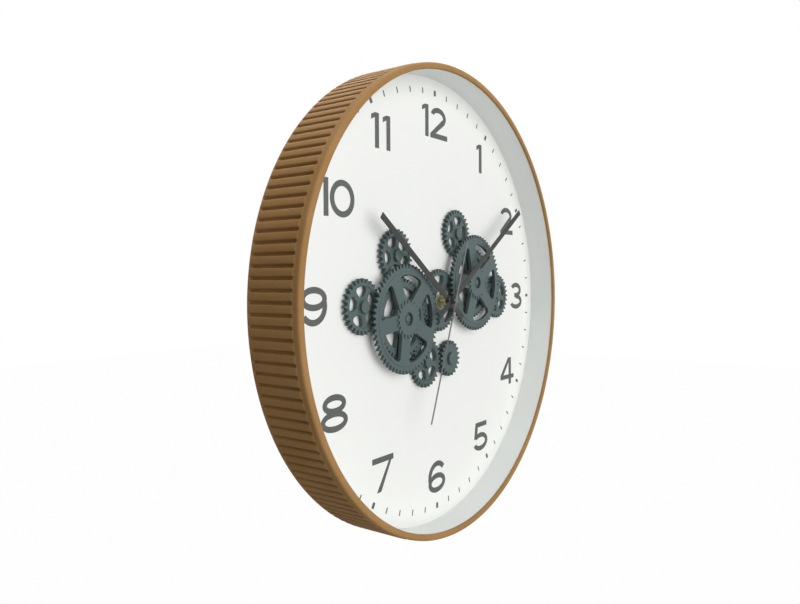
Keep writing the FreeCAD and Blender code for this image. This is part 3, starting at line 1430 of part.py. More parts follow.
PIECES = {
    "case_ring": case_ring(),
    "inner_flange": inner_flange(),
    "dial_panel": dial_panel(),
    "printed_numerals": printed_numerals(),
    "printed_minute_track": printed_minute_track(),
    "retaining_ring": retaining_ring(),
    "retaining_screws": retaining_screws(),
    "hanger_block": hanger_block(),
    "hanger_plate": hanger_plate(),
    "hanger_screws": hanger_screws(),
    "left_inner_wheel": left_inner_wheel,
    "left_big_wheel": left_big_wheel,
    "left_front_pinion": left_front_pinion,
    "right_inner_wheel": right_inner_wheel,
    "right_big_wheel": right_big_wheel,
    "right_front_pinion": right_front_pinion,
    "centre_gear": centre_gear(CENTRE_PHASE),
    **{name: small_gear(name, phase) for name, phase in SMALL_PHASES.items()},
    "drive_pinion": drive_pinion(DRIVE_PHASE),
    "drive_pinion_cap": drive_pinion_cap(),
    "big_wheel_posts": big_wheel_posts(),
    "big_wheel_caps": big_wheel_caps(),
    "small_gear_posts": small_gear_posts(),
    "small_gear_caps": small_gear_caps(),
    "post_nuts": post_nuts(),
    "threaded_bush": threaded_bush(),
    "idler_sleeve": idler_sleeve(),
    "bush_washer": bush_washer(),
    "bush_nut": bush_nut(),
    "hour_hand": hour_hand(),
    "minute_hand": minute_hand(),
    "seconds_hand": seconds_hand(),
    "movement_gasket": movement_gasket(),
    "movement_case": movement_case(),
    "movement_cover": movement_cover(),
    "movement_battery": battery("movement_battery", AXIS, MOVEMENT_FRONT),
    "battery_contacts": group("battery_contacts", *contacts("movement", AXIS, MOVEMENT_FRONT),
                              *contacts("motor", MOTOR_MIDDLE, MOTOR_FRONT)),
    "circuit_board": circuit_board(),
    "stator_coil": stator_coil(),
    "stepper_rotor": stepper_rotor(meshed(0, "intermediate_wheel_teeth", "rotor_direction",
                                          "rotor_pinion_teeth")),
    "intermediate_wheel": intermediate_wheel(meshed(0, "seconds_wheel_teeth", "270",
                                                    "intermediate_pinion_teeth"), 0),
    "seconds_wheel": seconds_wheel(meshed(0, "third_wheel_teeth", "180", "seconds_pinion_teeth"), 0),
    "third_wheel": third_wheel(meshed(0, "centre_wheel_teeth", "0", "third_pinion_teeth"), 0),
    "minute_wheel": minute_wheel(0, 0),
    "motion_wheel": motion_wheel(meshed(0, "cannon_teeth", "90", "motion_wheel_teeth"), 0),
    "set_knob": set_knob(),
    "hour_wheel": hour_wheel(meshed(0, "motion_pinion_teeth", "270", "hour_wheel_teeth")),
    "motor_case": motor_case(),
    "motor_cover": motor_cover(),
    "motor_can": motor_can(),
    "motor_pinion": motor_pinion(meshed(0, "reduction_teeth", "motor_direction", "motor_pinion_teeth")),
    "reduction_gear": reduction_gear(meshed(0, "output_teeth", "reduction_direction",
                                            "reduction_pinion_teeth"), 0),
    "output_shaft": output_shaft(0),
    "motor_battery": battery("motor_battery", MOTOR_MIDDLE, MOTOR_FRONT),
    "motor_screws": motor_screws(),
}

document.recompute()

# Every object has to be sound before anything is written
for item in document.Objects:
    if "Invalid" in item.State or "Error" in item.State:
        raise RuntimeError(f"{item.Name} failed: {item.State}")
for label, item in PIECES.items():
    item.Label = label
    if item.Shape.isNull() or not item.Shape.isValid() or not item.Shape.Solids:
        raise RuntimeError(f"{label} has no sound solid")

os.makedirs("parts", exist_ok=True)
for label, item in PIECES.items():
    item.Shape.exportStep(os.path.join("parts", label + ".step"))
print(f"{len(PIECES)} pieces written")
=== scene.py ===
import json
import math

import bmesh
import bpy
from bpy.props import FloatProperty, FloatVectorProperty, IntProperty, PointerProperty
from mathutils import Matrix, Vector

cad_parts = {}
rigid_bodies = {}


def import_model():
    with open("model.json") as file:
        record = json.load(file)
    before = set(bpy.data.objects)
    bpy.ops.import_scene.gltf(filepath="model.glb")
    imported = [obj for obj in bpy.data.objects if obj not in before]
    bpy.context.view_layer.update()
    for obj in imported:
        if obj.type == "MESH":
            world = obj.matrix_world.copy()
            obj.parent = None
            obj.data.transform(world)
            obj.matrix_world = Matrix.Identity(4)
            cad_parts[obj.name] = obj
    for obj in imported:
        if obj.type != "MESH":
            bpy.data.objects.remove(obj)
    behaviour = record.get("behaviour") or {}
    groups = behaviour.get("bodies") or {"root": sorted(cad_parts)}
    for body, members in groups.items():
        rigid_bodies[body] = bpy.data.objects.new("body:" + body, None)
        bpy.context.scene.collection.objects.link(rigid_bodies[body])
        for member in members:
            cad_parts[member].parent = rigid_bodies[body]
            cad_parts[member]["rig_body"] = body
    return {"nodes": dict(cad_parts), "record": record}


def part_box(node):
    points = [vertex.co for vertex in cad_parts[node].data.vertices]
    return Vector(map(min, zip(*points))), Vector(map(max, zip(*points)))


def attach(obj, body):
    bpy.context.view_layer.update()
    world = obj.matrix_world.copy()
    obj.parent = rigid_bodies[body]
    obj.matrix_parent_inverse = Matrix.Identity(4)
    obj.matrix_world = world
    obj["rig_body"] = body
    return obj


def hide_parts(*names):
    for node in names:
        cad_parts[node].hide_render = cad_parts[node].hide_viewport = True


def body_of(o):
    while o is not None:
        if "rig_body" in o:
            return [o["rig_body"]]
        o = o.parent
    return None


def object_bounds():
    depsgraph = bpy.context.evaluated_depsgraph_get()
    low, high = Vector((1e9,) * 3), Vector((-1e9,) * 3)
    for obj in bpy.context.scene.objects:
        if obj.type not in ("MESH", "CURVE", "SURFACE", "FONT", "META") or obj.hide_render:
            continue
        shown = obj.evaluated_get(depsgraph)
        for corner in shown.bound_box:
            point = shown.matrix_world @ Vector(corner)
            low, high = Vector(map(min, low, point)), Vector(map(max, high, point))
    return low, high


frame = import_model()
CAD_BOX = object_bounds()

bl_info = {
    "name": "Gear Clock",
    "version": (1, 0, 0),
    "blender": (4, 5, 0),
    "location": "3D View > Sidebar > Gear Clock",
    "description": "Dresses a wall clock that has large gears in front of its dial",
    "category": "Object",
}

# Metres, +Z up, with the dial facing -Y. Depths are counted from the dial's face towards the wall.
DIAL_CENTRE = Vector((0.0, -0.022, -0.168))
RING_RADIUS = 0.2
RING_FRONT, RING_BACK = -0.027, 0.022
WALL_INNER_RADIUS = 0.1965
BEZEL_INNER_RADIUS = 0.1943
BEZEL_BACK = -0.0245
CAP_RADIUS = 0.0044
CASE = "clock_case"

MERGE_DISTANCE = 0.000002
EASED_ANGLE = math.radians(32)

CAMERA_PLACE = (-0.5098, -0.3539, -0.1484)
CAMERA_TURN_DEGREES = (89.4093, 0.3574, -54.2619)
CAMERA_SHIFT = (-0.00475, -0.021)
KEY_PLACE, KEY_SIZE = (-0.1, -2.0, 0.1), 2.6
TOP_PLACE, TOP_SIZE = (-0.15, 0.05, 1.2), 0.7
BACK_PLACE, BACK_SIZE = (0.6, 1.5, 0.7), 1.2
FLOOR_HALF_WIDTH = 9.0
FLOOR_GLOW = 0.985


# Settings

class ClockSizes(bpy.types.PropertyGroup):
    rib_count: IntProperty(name="Ribs", description="Ribs round the case ring", default=156, min=12)
    groove_width: FloatProperty(name="Groove width", description="Width of the groove between two ribs",
                                default=0.0028, unit="LENGTH")
    groove_depth: FloatProperty(name="Groove depth", description="Depth of the groove below a rib",
                                default=0.0029, unit="LENGTH")
    band_drop: FloatProperty(name="Band drop", description="How far the plain bands lie below the ribs",
                             default=0.00045, unit="LENGTH")
    front_band: FloatProperty(name="Front band", description="Depth of the plain band at the front",
                              default=0.006, unit="LENGTH")
    back_band: FloatProperty(name="Back band", description="Depth of the plain band at the back",
                             default=0.0024, unit="LENGTH")
    plate_easing: FloatProperty(name="Plate easing", description="Width of the eased edges of the gears",
                                default=0.00018, unit="LENGTH")
    pinion_step: FloatProperty(name="Pinion step", description="From a hub's disc to the teeth round it",
                               default=0.00012, unit="LENGTH")
    hand_easing: FloatProperty(name="Hand easing", description="Width of the eased edges of the hands",
                               default=0.00008, unit="LENGTH")
    fitting_easing: FloatProperty(name="Fitting easing", description="Eased edges of the small fittings",
                                  default=0.00015, unit="LENGTH")
    box_easing: FloatProperty(name="Box easing", description="Eased edges of the plastic boxes",
                              default=0.0005, unit="LENGTH")


def colour_property(name, description, default):
    return FloatVectorProperty(name=name, description=description, default=default, subtype="COLOR",
                               size=3, min=0.0, max=1.0)


class ClockColours(bpy.types.PropertyGroup):
    case: colour_property("Case", "Caramel paint of the ring", (0.362, 0.204, 0.077))
    flange: colour_property("Flange", "Pale ring inside the bezel", (0.800, 0.825, 0.805))
    dial: colour_property("Dial", "White dial panel", (0.850, 0.860, 0.835))
    print: colour_property("Print", "Numerals and minute strokes", (0.088, 0.094, 0.089))
    gear: colour_property("Gears", "Dark petrol grey of the gears", (0.074, 0.108, 0.106))
    hands: colour_property("Hands", "Paint of the hour and minute hands", (0.040, 0.044, 0.040))
    seconds: colour_property("Seconds hand", "Paint of the seconds hand", (0.140, 0.142, 0.134))
    brass: colour_property("Brass", "Nut and threaded bush", (0.640, 0.600, 0.340))
    steel: colour_property("Steel", "Screws, posts and hanger plate", (0.560, 0.560, 0.540))
    dark_plastic: colour_property("Dark plastic", "Movement and motor boxes", (0.022, 0.022, 0.024))
    pale_plastic: colour_property("Pale plastic", "Moulded wheels and the hanger block",
                                  (0.700, 0.700, 0.660))


class ClockStage(bpy.types.PropertyGroup):
    lens: FloatProperty(name="Lens", description="Focal length of the camera", default=30.82,
                        unit="CAMERA")
    key_power: FloatProperty(name="Key light", description="Wide lamp in front of the dial",
                             default=44.0, unit="POWER")
    top_power: FloatProperty(name="Top light", description="Lamp above the clock", default=10.0,
                             unit="POWER")
    back_power: FloatProperty(name="Back light", description="Lamp behind the clock", default=16.0,
                              unit="POWER")
    sky: FloatProperty(name="Sky", description="Strength of the even light all round", default=0.29)
    floor_drop: FloatProperty(name="Floor drop", description="From the clock's lowest point to the floor",
                              default=0.9, unit="LENGTH")


def sizes():
    return bpy.context.scene.clock_sizes


def colours():
    return bpy.context.scene.clock_colours


# Materials

def node_with(tree, kind, inputs=None, **settings):
    """A new node with its settings, and with its inputs set to values or linked to sockets."""
    node = tree.nodes.new(kind)
    for name, value in settings.items():
        setattr(node, name, value)
    for socket, source in (inputs or {}).items():
        if isinstance(source, bpy.types.NodeSocket):
            tree.links.new(source, node.inputs[socket])
        else:
            node.inputs[socket].default_value = source
    return node


def new_material(name):
    material = bpy.data.materials.new(name)
    material.use_nodes = True
    return material, material.node_tree, material.node_tree.nodes["Principled BSDF"]


def place_on_piece(tree, scale=(1.0, 1.0, 1.0), origin=(0.0, 0.0, 0.0), turn=(0.0, 0.0, 0.0)):
    """The piece's own coordinates, measured from an origin, turned and scaled."""
    own = tree.nodes.new("ShaderNodeTexCoord").outputs["Object"]
    mapping = node_with(tree, "ShaderNodeMapping", {"Vector": own, "Location": origin, "Rotation": turn,
                                                    "Scale": scale}, vector_type="TEXTURE")
    return mapping.outputs["Vector"]


def noise(tree, vector, scale, detail=3.0):
    texture = node_with(tree, "ShaderNodeTexNoise", {"Vector": vector, "Scale": scale, "Detail": detail,
                                                     "Roughness": 0.55})
    return texture.outputs["Fac"]


def spread(tree, value, low, high, start=0.3, end=0.7):
    """A value between start and end becomes one between low and high."""
    ranged = node_with(tree, "ShaderNodeMapRange", {"Value": value, "From Min": start, "From Max": end,
                                                    "To Min": low, "To Max": high})
    return ranged.outputs["Result"]


def shade(colour, amount):
    return tuple(min(channel * amount, 1.0) for channel in colour) + (1.0,)


def two_tone(tree, value, first, second, **settings):
    """A colour between two others, each of them a colour or a socket."""
    mix = node_with(tree, "ShaderNodeMix", {"A": first, "B": second, "Factor": value},
                    data_type="RGBA", **settings)
    return mix.outputs["Result"]


def lift(tree, shader, height, distance):
    """Give a shader small relief, as high as a distance."""
    bump = node_with(tree, "ShaderNodeBump", {"Strength": 1.0, "Distance": distance, "Height": height})
    tree.links.new(bump.outputs["Normal"], shader.inputs["Normal"])


def grained(name, colour, roughness, drift=0.05, drift_scale=14.0, grain_scale=900.0, grain_depth=0.00004,
            stretch=(1.0, 1.0, 1.0), metallic=0.0, specular=0.5):
    """A finish whose colour and gloss drift a little and whose surface has a fine grain."""
    material, tree, shader = new_material(name)
    vector = place_on_piece(tree, stretch)
    cloud = noise(tree, vector, drift_scale)
    grain = noise(tree, vector, grain_scale, detail=2.0)
    fine = spread(tree, cloud, 0.0, 1.0)
    tone = two_tone(tree, fine, shade(colour, 1.0 - drift), shade(colour, 1.0 + drift))
    tree.links.new(tone, shader.inputs["Base Color"])
    tree.links.new(spread(tree, grain, roughness - 0.06, roughness + 0.06), shader.inputs["Roughness"])
    lift(tree, shader, grain, grain_depth)
    shader.inputs["Metallic"].default_value = metallic
    shader.inputs["Specular IOR Level"].default_value = specular
    return material


def brushed(name, colour, roughness, along):
    """Metal with fine marks that run one way."""
    return grained(name, colour, roughness, drift=0.10, drift_scale=60.0, grain_scale=1400.0,
                   grain_depth=0.00002, stretch=along, metallic=1.0)


def turned_metal(name, colour, roughness):
    """Metal with fine rings about the hands' axis, left by the lathe."""
    material, tree, shader = new_material(name)
    vector = place_on_piece(tree, origin=tuple(DIAL_CENTRE), turn=(math.radians(90), 0.0, 0.0))
    ring_width = 0.00012
    rings = node_with(tree, "ShaderNodeTexWave", {"Vector": vector, "Scale": 0.05 / ring_width,
                                                  "Distortion": 0.6},
                      wave_type="RINGS", rings_direction="Z")
    cloud = noise(tree, vector, 300.0)
    tone = two_tone(tree, spread(tree, cloud, 0.0, 1.0), shade(colour, 0.85), shade(colour, 1.1))
    tree.links.new(tone, shader.inputs["Base Color"])
    tree.links.new(spread(tree, cloud, roughness - 0.08, roughness + 0.08), shader.inputs["Roughness"])
    lift(tree, shader, rings.outputs["Fac"], 0.00001)
    shader.inputs["Metallic"].default_value = 1.0
    return material


def cell_wrap():
    """The sleeve of a battery cell: dark, with a copper band, and a bare steel nub."""
    material, tree, shader = new_material("battery_sleeve")
    along = node_with(tree, "ShaderNodeAttribute", attribute_name="along").outputs["Fac"]
    band = spread(tree, along, 0.0, 1.0, start=0.715, end=0.722)
    vector = place_on_piece(tree)
    cloud = noise(tree, vector, 120.0)
    dark = two_tone(tree, spread(tree, cloud, 0.0, 1.0), (0.030, 0.040, 0.038, 1.0),
                    (0.042, 0.052, 0.050, 1.0))
    bare_end = spread(tree, along, 0.0, 1.0, start=0.972, end=0.974)
    copper = two_tone(tree, bare_end, (0.55, 0.27, 0.12, 1.0), (0.56, 0.56, 0.54, 1.0))
    tree.links.new(two_tone(tree, band, dark, copper), shader.inputs["Base Color"])
    tree.links.new(spread(tree, band, 0.38, 0.24, start=0.0, end=1.0), shader.inputs["Roughness"])
    tree.links.new(spread(tree, band, 0.3, 1.0, start=0.0, end=1.0), shader.inputs["Metallic"])
    lift(tree, shader, cloud, 0.00003)
    shader.inputs["Coat Weight"].default_value = 0.4
    return material


def wound_wire(name, colour):
    """Lacquered wire whose turns lie side by side along X, with painted shade darkening the gaps between
    turns and a painted highlight on their crests.
    """
    material, tree, shader = new_material(name)
    vector = place_on_piece(tree)
    wave = node_with(tree, "ShaderNodeTexWave", {"Vector": vector, "Scale": 900.0, "Distortion": 0.8,
                                                 "Detail": 1.0}, bands_direction="X")
    turn_relief_and_shade = wave.outputs["Fac"]
    # Painted shade and highlight: the wire's colour darkens into the gaps between turns and lightens on
    # their crests.
    tone = two_tone(tree, turn_relief_and_shade, shade(colour, 0.45), shade(colour, 1.15))
    tree.links.new(tone, shader.inputs["Base Color"])
    tree.links.new(spread(tree, turn_relief_and_shade, 0.45, 0.22, start=0.0, end=1.0), shader.inputs["Roughness"])
    lift(tree, shader, turn_relief_and_shade, 0.00008)
    shader.inputs["Metallic"].default_value = 1.0
    return material


def printed_board():
    """Green lacquer with copper tracks under it."""
    material, tree, shader = new_material("circuit_board_lacquer")
    vector = place_on_piece(tree)
    tracks = node_with(tree, "ShaderNodeTexBrick", {
        "Vector": vector, "Scale": 700.0, "Mortar Size": 0.12, "Color1": (0.012, 0.085, 0.035, 1.0),
        "Color2": (0.016, 0.100, 0.042, 1.0), "Mortar": (0.045, 0.190, 0.080, 1.0)})
    tree.links.new(tracks.outputs["Color"], shader.inputs["Base Color"])
    cloud = noise(tree, vector, 500.0)
    tree.links.new(spread(tree, cloud, 0.25, 0.4), shader.inputs["Roughness"])
    lift(tree, shader, tracks.outputs["Fac"], 0.00003)
    shader.inputs["Coat Weight"].default_value = 0.5
    return material


def dial_paint():
    """Matte white with a faint drift of tone and the fine tooth of sprayed lacquer."""
    return grained("dial_white", colours().dial, 0.62, drift=0.012, drift_scale=6.0, grain_scale=2200.0,
                   grain_depth=0.000015, specular=0.35)


def case_paint():
    """Caramel paint with a soft mottle, and the slight orange peel of a sprayed moulding."""
    material, tree, shader = new_material("caramel_paint")
    colour = colours().case
    vector = place_on_piece(tree)
    cloud = spread(tree, noise(tree, vector, 22.0), 0.0, 1.0)
    speck = noise(tree, vector, 520.0, detail=4.0)
    mottle = two_tone(tree, cloud, shade((colour[0] * 0.97, colour[1] * 0.95, colour[2] * 0.90), 0.95),
                      shade((colour[0] * 1.03, colour[1] * 1.04, colour[2] * 1.08), 1.04))
    specked = two_tone(tree, spread(tree, speck, 0.0, 0.6, start=0.52, end=0.66), mottle,
                       (0.90, 0.88, 0.86, 1.0), blend_type="MULTIPLY")
    tree.links.new(specked, shader.inputs["Base Color"])
    tree.links.new(spread(tree, speck, 0.46, 0.62), shader.inputs["Roughness"])
    peel = noise(tree, vector, 700.0, detail=2.0)
    lift(tree, shader, peel, 0.00003)
    shader.inputs["Specular IOR Level"].default_value = 0.06
    return material


def gear_moulding():
    """Satin petrol-grey moulding: a cloudy gloss, and a fine spark-eroded texture."""
    material, tree, shader = new_material("petrol_grey_moulding")
    colour = colours().gear
    vector = place_on_piece(tree)
    cloud = noise(tree, vector, 40.0)
    texture = noise(tree, vector, 1600.0, detail=2.0)
    tone = two_tone(tree, spread(tree, cloud, 0.0, 1.0), shade(colour, 0.94), shade(colour, 1.06))
    tree.links.new(tone, shader.inputs["Base Color"])
    tree.links.new(spread(tree, cloud, 0.42, 0.54), shader.inputs["Roughness"])
    lift(tree, shader, texture, 0.00002)
    shader.inputs["Specular IOR Level"].default_value = 0.4
    return material


MAKERS = {
    "case_finish": case_paint,
    "flange_finish": lambda: grained("flange_white", colours().flange, 0.6, drift=0.02, grain_scale=1600.0,
                                     grain_depth=0.00002),
    "dial_finish": dial_paint,
    "print": lambda: grained("print_grey", colours().print, 0.58, drift=0.06, drift_scale=180.0,
                             grain_scale=2600.0, grain_depth=0.00001),
    "gear_finish": gear_moulding,
    "hand_finish": lambda: grained("hand_paint", colours().hands, 0.55, drift=0.08, drift_scale=60.0,
                                   grain_scale=2000.0, grain_depth=0.00001, specular=0.25),
    "seconds_finish": lambda: grained("seconds_paint", colours().seconds, 0.4, drift=0.08,
                                      drift_scale=90.0, grain_scale=2000.0, grain_depth=0.00001),
    "brass": lambda: turned_metal("turned_brass", colours().brass, 0.32),
    "steel": lambda: brushed("zinc_plate", colours().steel, 0.34, along=(0.08, 1.0, 1.0)),
    "black_plastic": lambda: grained("dark_box_moulding", colours().dark_plastic, 0.5, drift=0.12,
                                     drift_scale=50.0, grain_scale=1300.0, grain_depth=0.00006),
    "white_plastic": lambda: grained("pale_moulding", colours().pale_plastic, 0.42, drift=0.03,
                                     drift_scale=80.0, grain_scale=1500.0, grain_depth=0.00002),
    "rubber": lambda: grained("gasket_rubber", (0.028, 0.028, 0.028), 0.78, drift=0.15, drift_scale=90.0,
                              grain_scale=1100.0, grain_depth=0.00005),
    "battery": cell_wrap,
    "contact_metal": lambda: brushed("nickel_plate", (0.62, 0.60, 0.56), 0.26, along=(1.0, 1.0, 0.1)),
    "board": printed_board,
    "copper": lambda: wound_wire("coil_wire", (0.78, 0.36, 0.17)),
    "magnet": lambda: grained("sintered_magnet", (0.10, 0.10, 0.105), 0.45, drift=0.15, drift_scale=300.0,
                              grain_scale=1800.0, grain_depth=0.00005, metallic=0.8),
    "block_plastic": lambda: grained("block_moulding", colours().pale_plastic, 0.5, drift=0.03,
                                     drift_scale=40.0, grain_scale=900.0, grain_depth=0.00004),
}
MADE = {}


def finish_for(slot):
    if slot not in MADE:
        MADE[slot] = MAKERS[slot]()
    return MADE[slot]


def slot_of(node):
    for part in frame["record"]["subparts"]:
        if part["node"] == node:
            return part["material_slot"]
    raise RuntimeError(f"The record has no part named {node}.")


# Pieces

def finished_mesh(name, form):
    """A mesh made from a form, which is then freed."""
    mesh = bpy.data.meshes.new(name)
    form.to_mesh(mesh)
    form.free()
    return mesh


def add_piece(name, mesh, body, slot, nodes=(), smooth=True):
    """Put a finished mesh into the scene on a body, with a slot's finish, in place of CAD nodes."""
    piece = bpy.data.objects.new(name, mesh)
    bpy.context.scene.collection.objects.link(piece)
    if not mesh.materials:
        mesh.materials.append(finish_for(slot))
    mesh.polygons.foreach_set("use_smooth", [smooth] * len(mesh.polygons))
    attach(piece, body)
    if nodes:
        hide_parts(*nodes)
    return piece


def dress_node(node):
    """A CAD node that keeps its shape gets its finish."""
    node_object = frame["nodes"][node]
    node_object.data.materials.clear()
    node_object.data.materials.append(finish_for(slot_of(node)))


def eased_copy(node, width, segments=2):
    """A merged copy of a CAD node with eased edges, which stands for the node."""
    source = frame["nodes"][node]
    form = bmesh.new()
    form.from_mesh(source.data)
    bmesh.ops.remove_doubles(form, verts=form.verts, dist=MERGE_DISTANCE)
    bmesh.ops.dissolve_limit(form, angle_limit=math.radians(0.5), verts=form.verts, edges=form.edges)
    mesh = finished_mesh(f"{node}_form", form)
    piece = add_piece(f"{node}_form", mesh, body_of(source)[0], slot_of(node), [node])
    bevel = piece.modifiers.new("eased_edges", "BEVEL")
    bevel.width = width
    bevel.segments = segments
    bevel.limit_method = "ANGLE"
    bevel.angle_limit = EASED_ANGLE
    mesh.set_sharp_from_angle(angle=EASED_ANGLE)


def set_inputs(modifier, values):
    """Set a modifier's inputs by the names that its tree gives them."""
    for item in modifier.node_group.interface.items_tree:
        if item.item_type == "SOCKET" and item.in_out == "INPUT" and item.name in values:
            modifier[item.identifier] = values[item.name]


def round_axis_tree():
    """A tree that repeats its mesh about an axis along Y, and may widen one copy in every few."""
    tree = bpy.data.node_groups.new("Repeat round axis", "GeometryNodeTree")
    new_socket = tree.interface.new_socket
    new_socket(name="Geometry", in_out="INPUT", socket_type="NodeSocketGeometry")
    for name, kind in (("Count", "NodeSocketInt"), ("Centre", "NodeSocketVector"),
                       ("Wide every", "NodeSocketInt"), ("Wide by", "NodeSocketFloat"),
                       ("Finish", "NodeSocketMaterial")):
        new_socket(name=name, in_out="INPUT", socket_type=kind)
    new_socket(name="Geometry", in_out="OUTPUT", socket_type="NodeSocketGeometry")
    given = tree.nodes.new("NodeGroupInput").outputs
    points = node_with(tree, "GeometryNodePoints", {"Count": given["Count"], "Position": given["Centre"]})
    index = tree.nodes.new("GeometryNodeInputIndex").outputs["Index"]
    step = node_with(tree, "ShaderNodeMath", {0: math.tau, 1: given["Count"]}, operation="DIVIDE")
    angle = node_with(tree, "ShaderNodeMath", {0: index, 1: step.outputs[0]}, operation="MULTIPLY")
    turn = node_with(tree, "ShaderNodeCombineXYZ", {"Y": angle.outputs[0]})
    left_over = node_with(tree, "ShaderNodeMath", {0: index, 1: given["Wide every"]}, operation="MODULO")
    chosen = node_with(tree, "FunctionNodeCompare", {"A": left_over.outputs[0], "B": 0.5},
                       operation="LESS_THAN")
    widened = node_with(tree, "GeometryNodeSwitch", {"Switch": chosen.outputs["Result"], "False": 1.0,
                                                     "True": given["Wide by"]}, input_type="FLOAT")
    scale = node_with(tree, "ShaderNodeCombineXYZ", {"X": widened.outputs[0], "Y": 1.0, "Z": 1.0})
    copies = node_with(tree, "GeometryNodeInstanceOnPoints", {
        "Points": points.outputs[0], "Instance": given["Geometry"], "Rotation": turn.outputs[0],
        "Scale": scale.outputs[0]})
    real = node_with(tree, "GeometryNodeRealizeInstances", {"Geometry": copies.outputs[0]})
    merged = node_with(tree, "GeometryNodeMergeByDistance", {"Geometry": real.outputs[0],
                                                             "Distance": MERGE_DISTANCE})
    finished = node_with(tree, "GeometryNodeSetMaterial", {"Geometry": merged.outputs[0],
                                                           "Material": given["Finish"]})
    result = tree.nodes.new("NodeGroupOutput")
    tree.links.new(finished.outputs[0], result.inputs[0])
    return tree


def repeated(name, mesh, slot, count, wide_every=0, wide_by=1.0):
    """The plain mesh that results from repeating a mesh about the hands' axis."""
    tree = bpy.data.node_groups.get("Repeat round axis") or round_axis_tree()
    source = bpy.data.objects.new(f"{name}_source", mesh)
    bpy.context.scene.collection.objects.link(source)
    modifier = source.modifiers.new("repeat", "NODES")
    modifier.node_group = tree
    set_inputs(modifier, {"Count": count, "Centre": tuple(DIAL_CENTRE),
                          "Wide every": wide_every or count + 1, "Wide by": wide_by,
                          "Finish": finish_for(slot)})
    graph = bpy.context.evaluated_depsgraph_get()
    result = bpy.data.meshes.new_from_object(source.evaluated_get(graph), depsgraph=graph)
    source.modifiers.clear()
    bpy.data.objects.remove(source)
    result.name = name
    return result


def lathe_mesh(name, outline, segments, axis, centre):
    """A turned form: an outline of (radius, along) points about an axis through a centre."""
    form = bmesh.new()
    along = Vector(axis)
    across = along.orthogonal().normalized()
    rings = []
    for radius, distance in outline:
        start = across * radius + along * distance
        if radius == 0:
            rings.append([form.verts.new(start + Vector(centre))] * segments)
            continue
        rings.append([form.verts.new(Matrix.Rotation(math.tau * k / segments, 3, along) @ start
                                     + Vector(centre)) for k in range(segments)])
    for near, far in zip(rings, rings[1:]):
        for k in range(segments):
            corners = [near[k], near[(k + 1) % segments], far[(k + 1) % segments], far[k]]
            unique = list(dict.fromkeys(corners))
            if len(unique) > 2:
                form.faces.new(unique)
    bmesh.ops.recalc_face_normals(form, faces=form.faces)
    return finished_mesh(name, form)


def smoothstep(value):
    value = min(max(value, 0.0), 1.0)
    return value * value * (3 - 2 * value)


def arc(centre_radius, centre_depth, radius, start, end, count):
    """Points of (radius, depth) along an arc in the section of a ring, from start to end degrees."""
    angles = [math.radians(start + (end - start) * k / count) for k in range(count + 1)]
    return [(centre_radius + radius * math.cos(angle), centre_depth + radius * math.sin(angle))
            for angle in angles]


def fluted_radius(across, depth):
    """Radius of the fluted wall at a distance from a rib's middle and a depth."""
    values = sizes()
    shoulder_width, shoulder_drop = 0.8, 0.00025
    front_rise, back_rise, risen_early = 0.0009, 0.0012, 2 / 3
    half_groove = values.groove_width / 2
    half_pitch = math.pi * RING_RADIUS / values.rib_count
    groove_front = RING_FRONT + values.front_band
    groove_back = RING_BACK - values.back_band
    beyond = max(groove_front + half_groove - depth, depth - groove_back + half_groove, 0.0)
    distance = math.hypot(half_pitch - abs(across), beyond) / half_groove
    groove = math.sqrt(max(1.0 - min(distance, 1.0) ** 2, 0.0))
    shoulder = smoothstep((distance - 1.0) / shoulder_width)
    ribs = (smoothstep((depth - groove_front) / front_rise + risen_early)
            * smoothstep((groove_back - depth) / back_rise + risen_early))
    crest = RING_RADIUS - values.band_drop * (1 - ribs) - shoulder_drop * ribs * (1 - shoulder)
    return crest - (values.groove_depth - values.band_drop) * groove


def ring_sector():
    """One pitch of the ring: a rib between two half grooves, and the whole section of the ring."""
    values = sizes()
    half_turn = math.pi / values.rib_count
    rib_shares = (0.36, 0.54, 0.65, 0.72, 0.84, 1.0)
    shares = [-share for share in reversed(rib_shares)] + list(rib_shares)
    front_steps = (-0.0014, -0.0006, -0.0002, 0.0002, 0.0006, 0.0013)
    back_steps = (-0.0013, -0.0006, 0.0, 0.0009)
    depths = [RING_FRONT + values.front_band + step for step in front_steps]
    depths += [RING_BACK - values.back_band + step for step in back_steps]

    band = RING_RADIUS - values.band_drop
    lip, corner = 0.0005, 0.002
    chamfer_width, chamfer_depth = 0.0003, 0.0004
    ahead = arc(BEZEL_INNER_RADIUS + lip, RING_FRONT + lip, lip, 180, 270, 2)
    ahead += arc(band - corner, RING_FRONT + corner, corner, 270, 360, 5)
    behind = arc(band - corner, RING_BACK - corner, corner, 0, 90, 3)
    behind += [(WALL_INNER_RADIUS + chamfer_width, RING_BACK),
               (WALL_INNER_RADIUS, RING_BACK - chamfer_depth),
               (WALL_INNER_RADIUS, BEZEL_BACK), (BEZEL_INNER_RADIUS, BEZEL_BACK)]

    form = bmesh.new()
    columns = []
    for share in shares:
        fluted = [(fluted_radius(share * half_turn * RING_RADIUS, depth), depth) for depth in depths]
        angle = share * half_turn
        columns.append([form.verts.new((radius * math.sin(angle), depth, radius * math.cos(angle)))
                        for radius, depth in ahead + fluted + behind])
    for left, right in zip(columns, columns[1:]):
        for k in range(len(left)):
            after = (k + 1) % len(left)
            form.faces.new((left[k], left[after], right[after], right[k]))
    return finished_mesh("ring_sector", form)


def point_outwards(mesh):
    """Weld a mesh's seams and turn its faces outwards."""
    form = bmesh.new()
    form.from_mesh(mesh)
    bmesh.ops.remove_doubles(form, verts=form.verts, dist=MERGE_DISTANCE)
    bmesh.ops.recalc_face_normals(form, faces=form.faces)
    form.to_mesh(mesh)
    form.free()


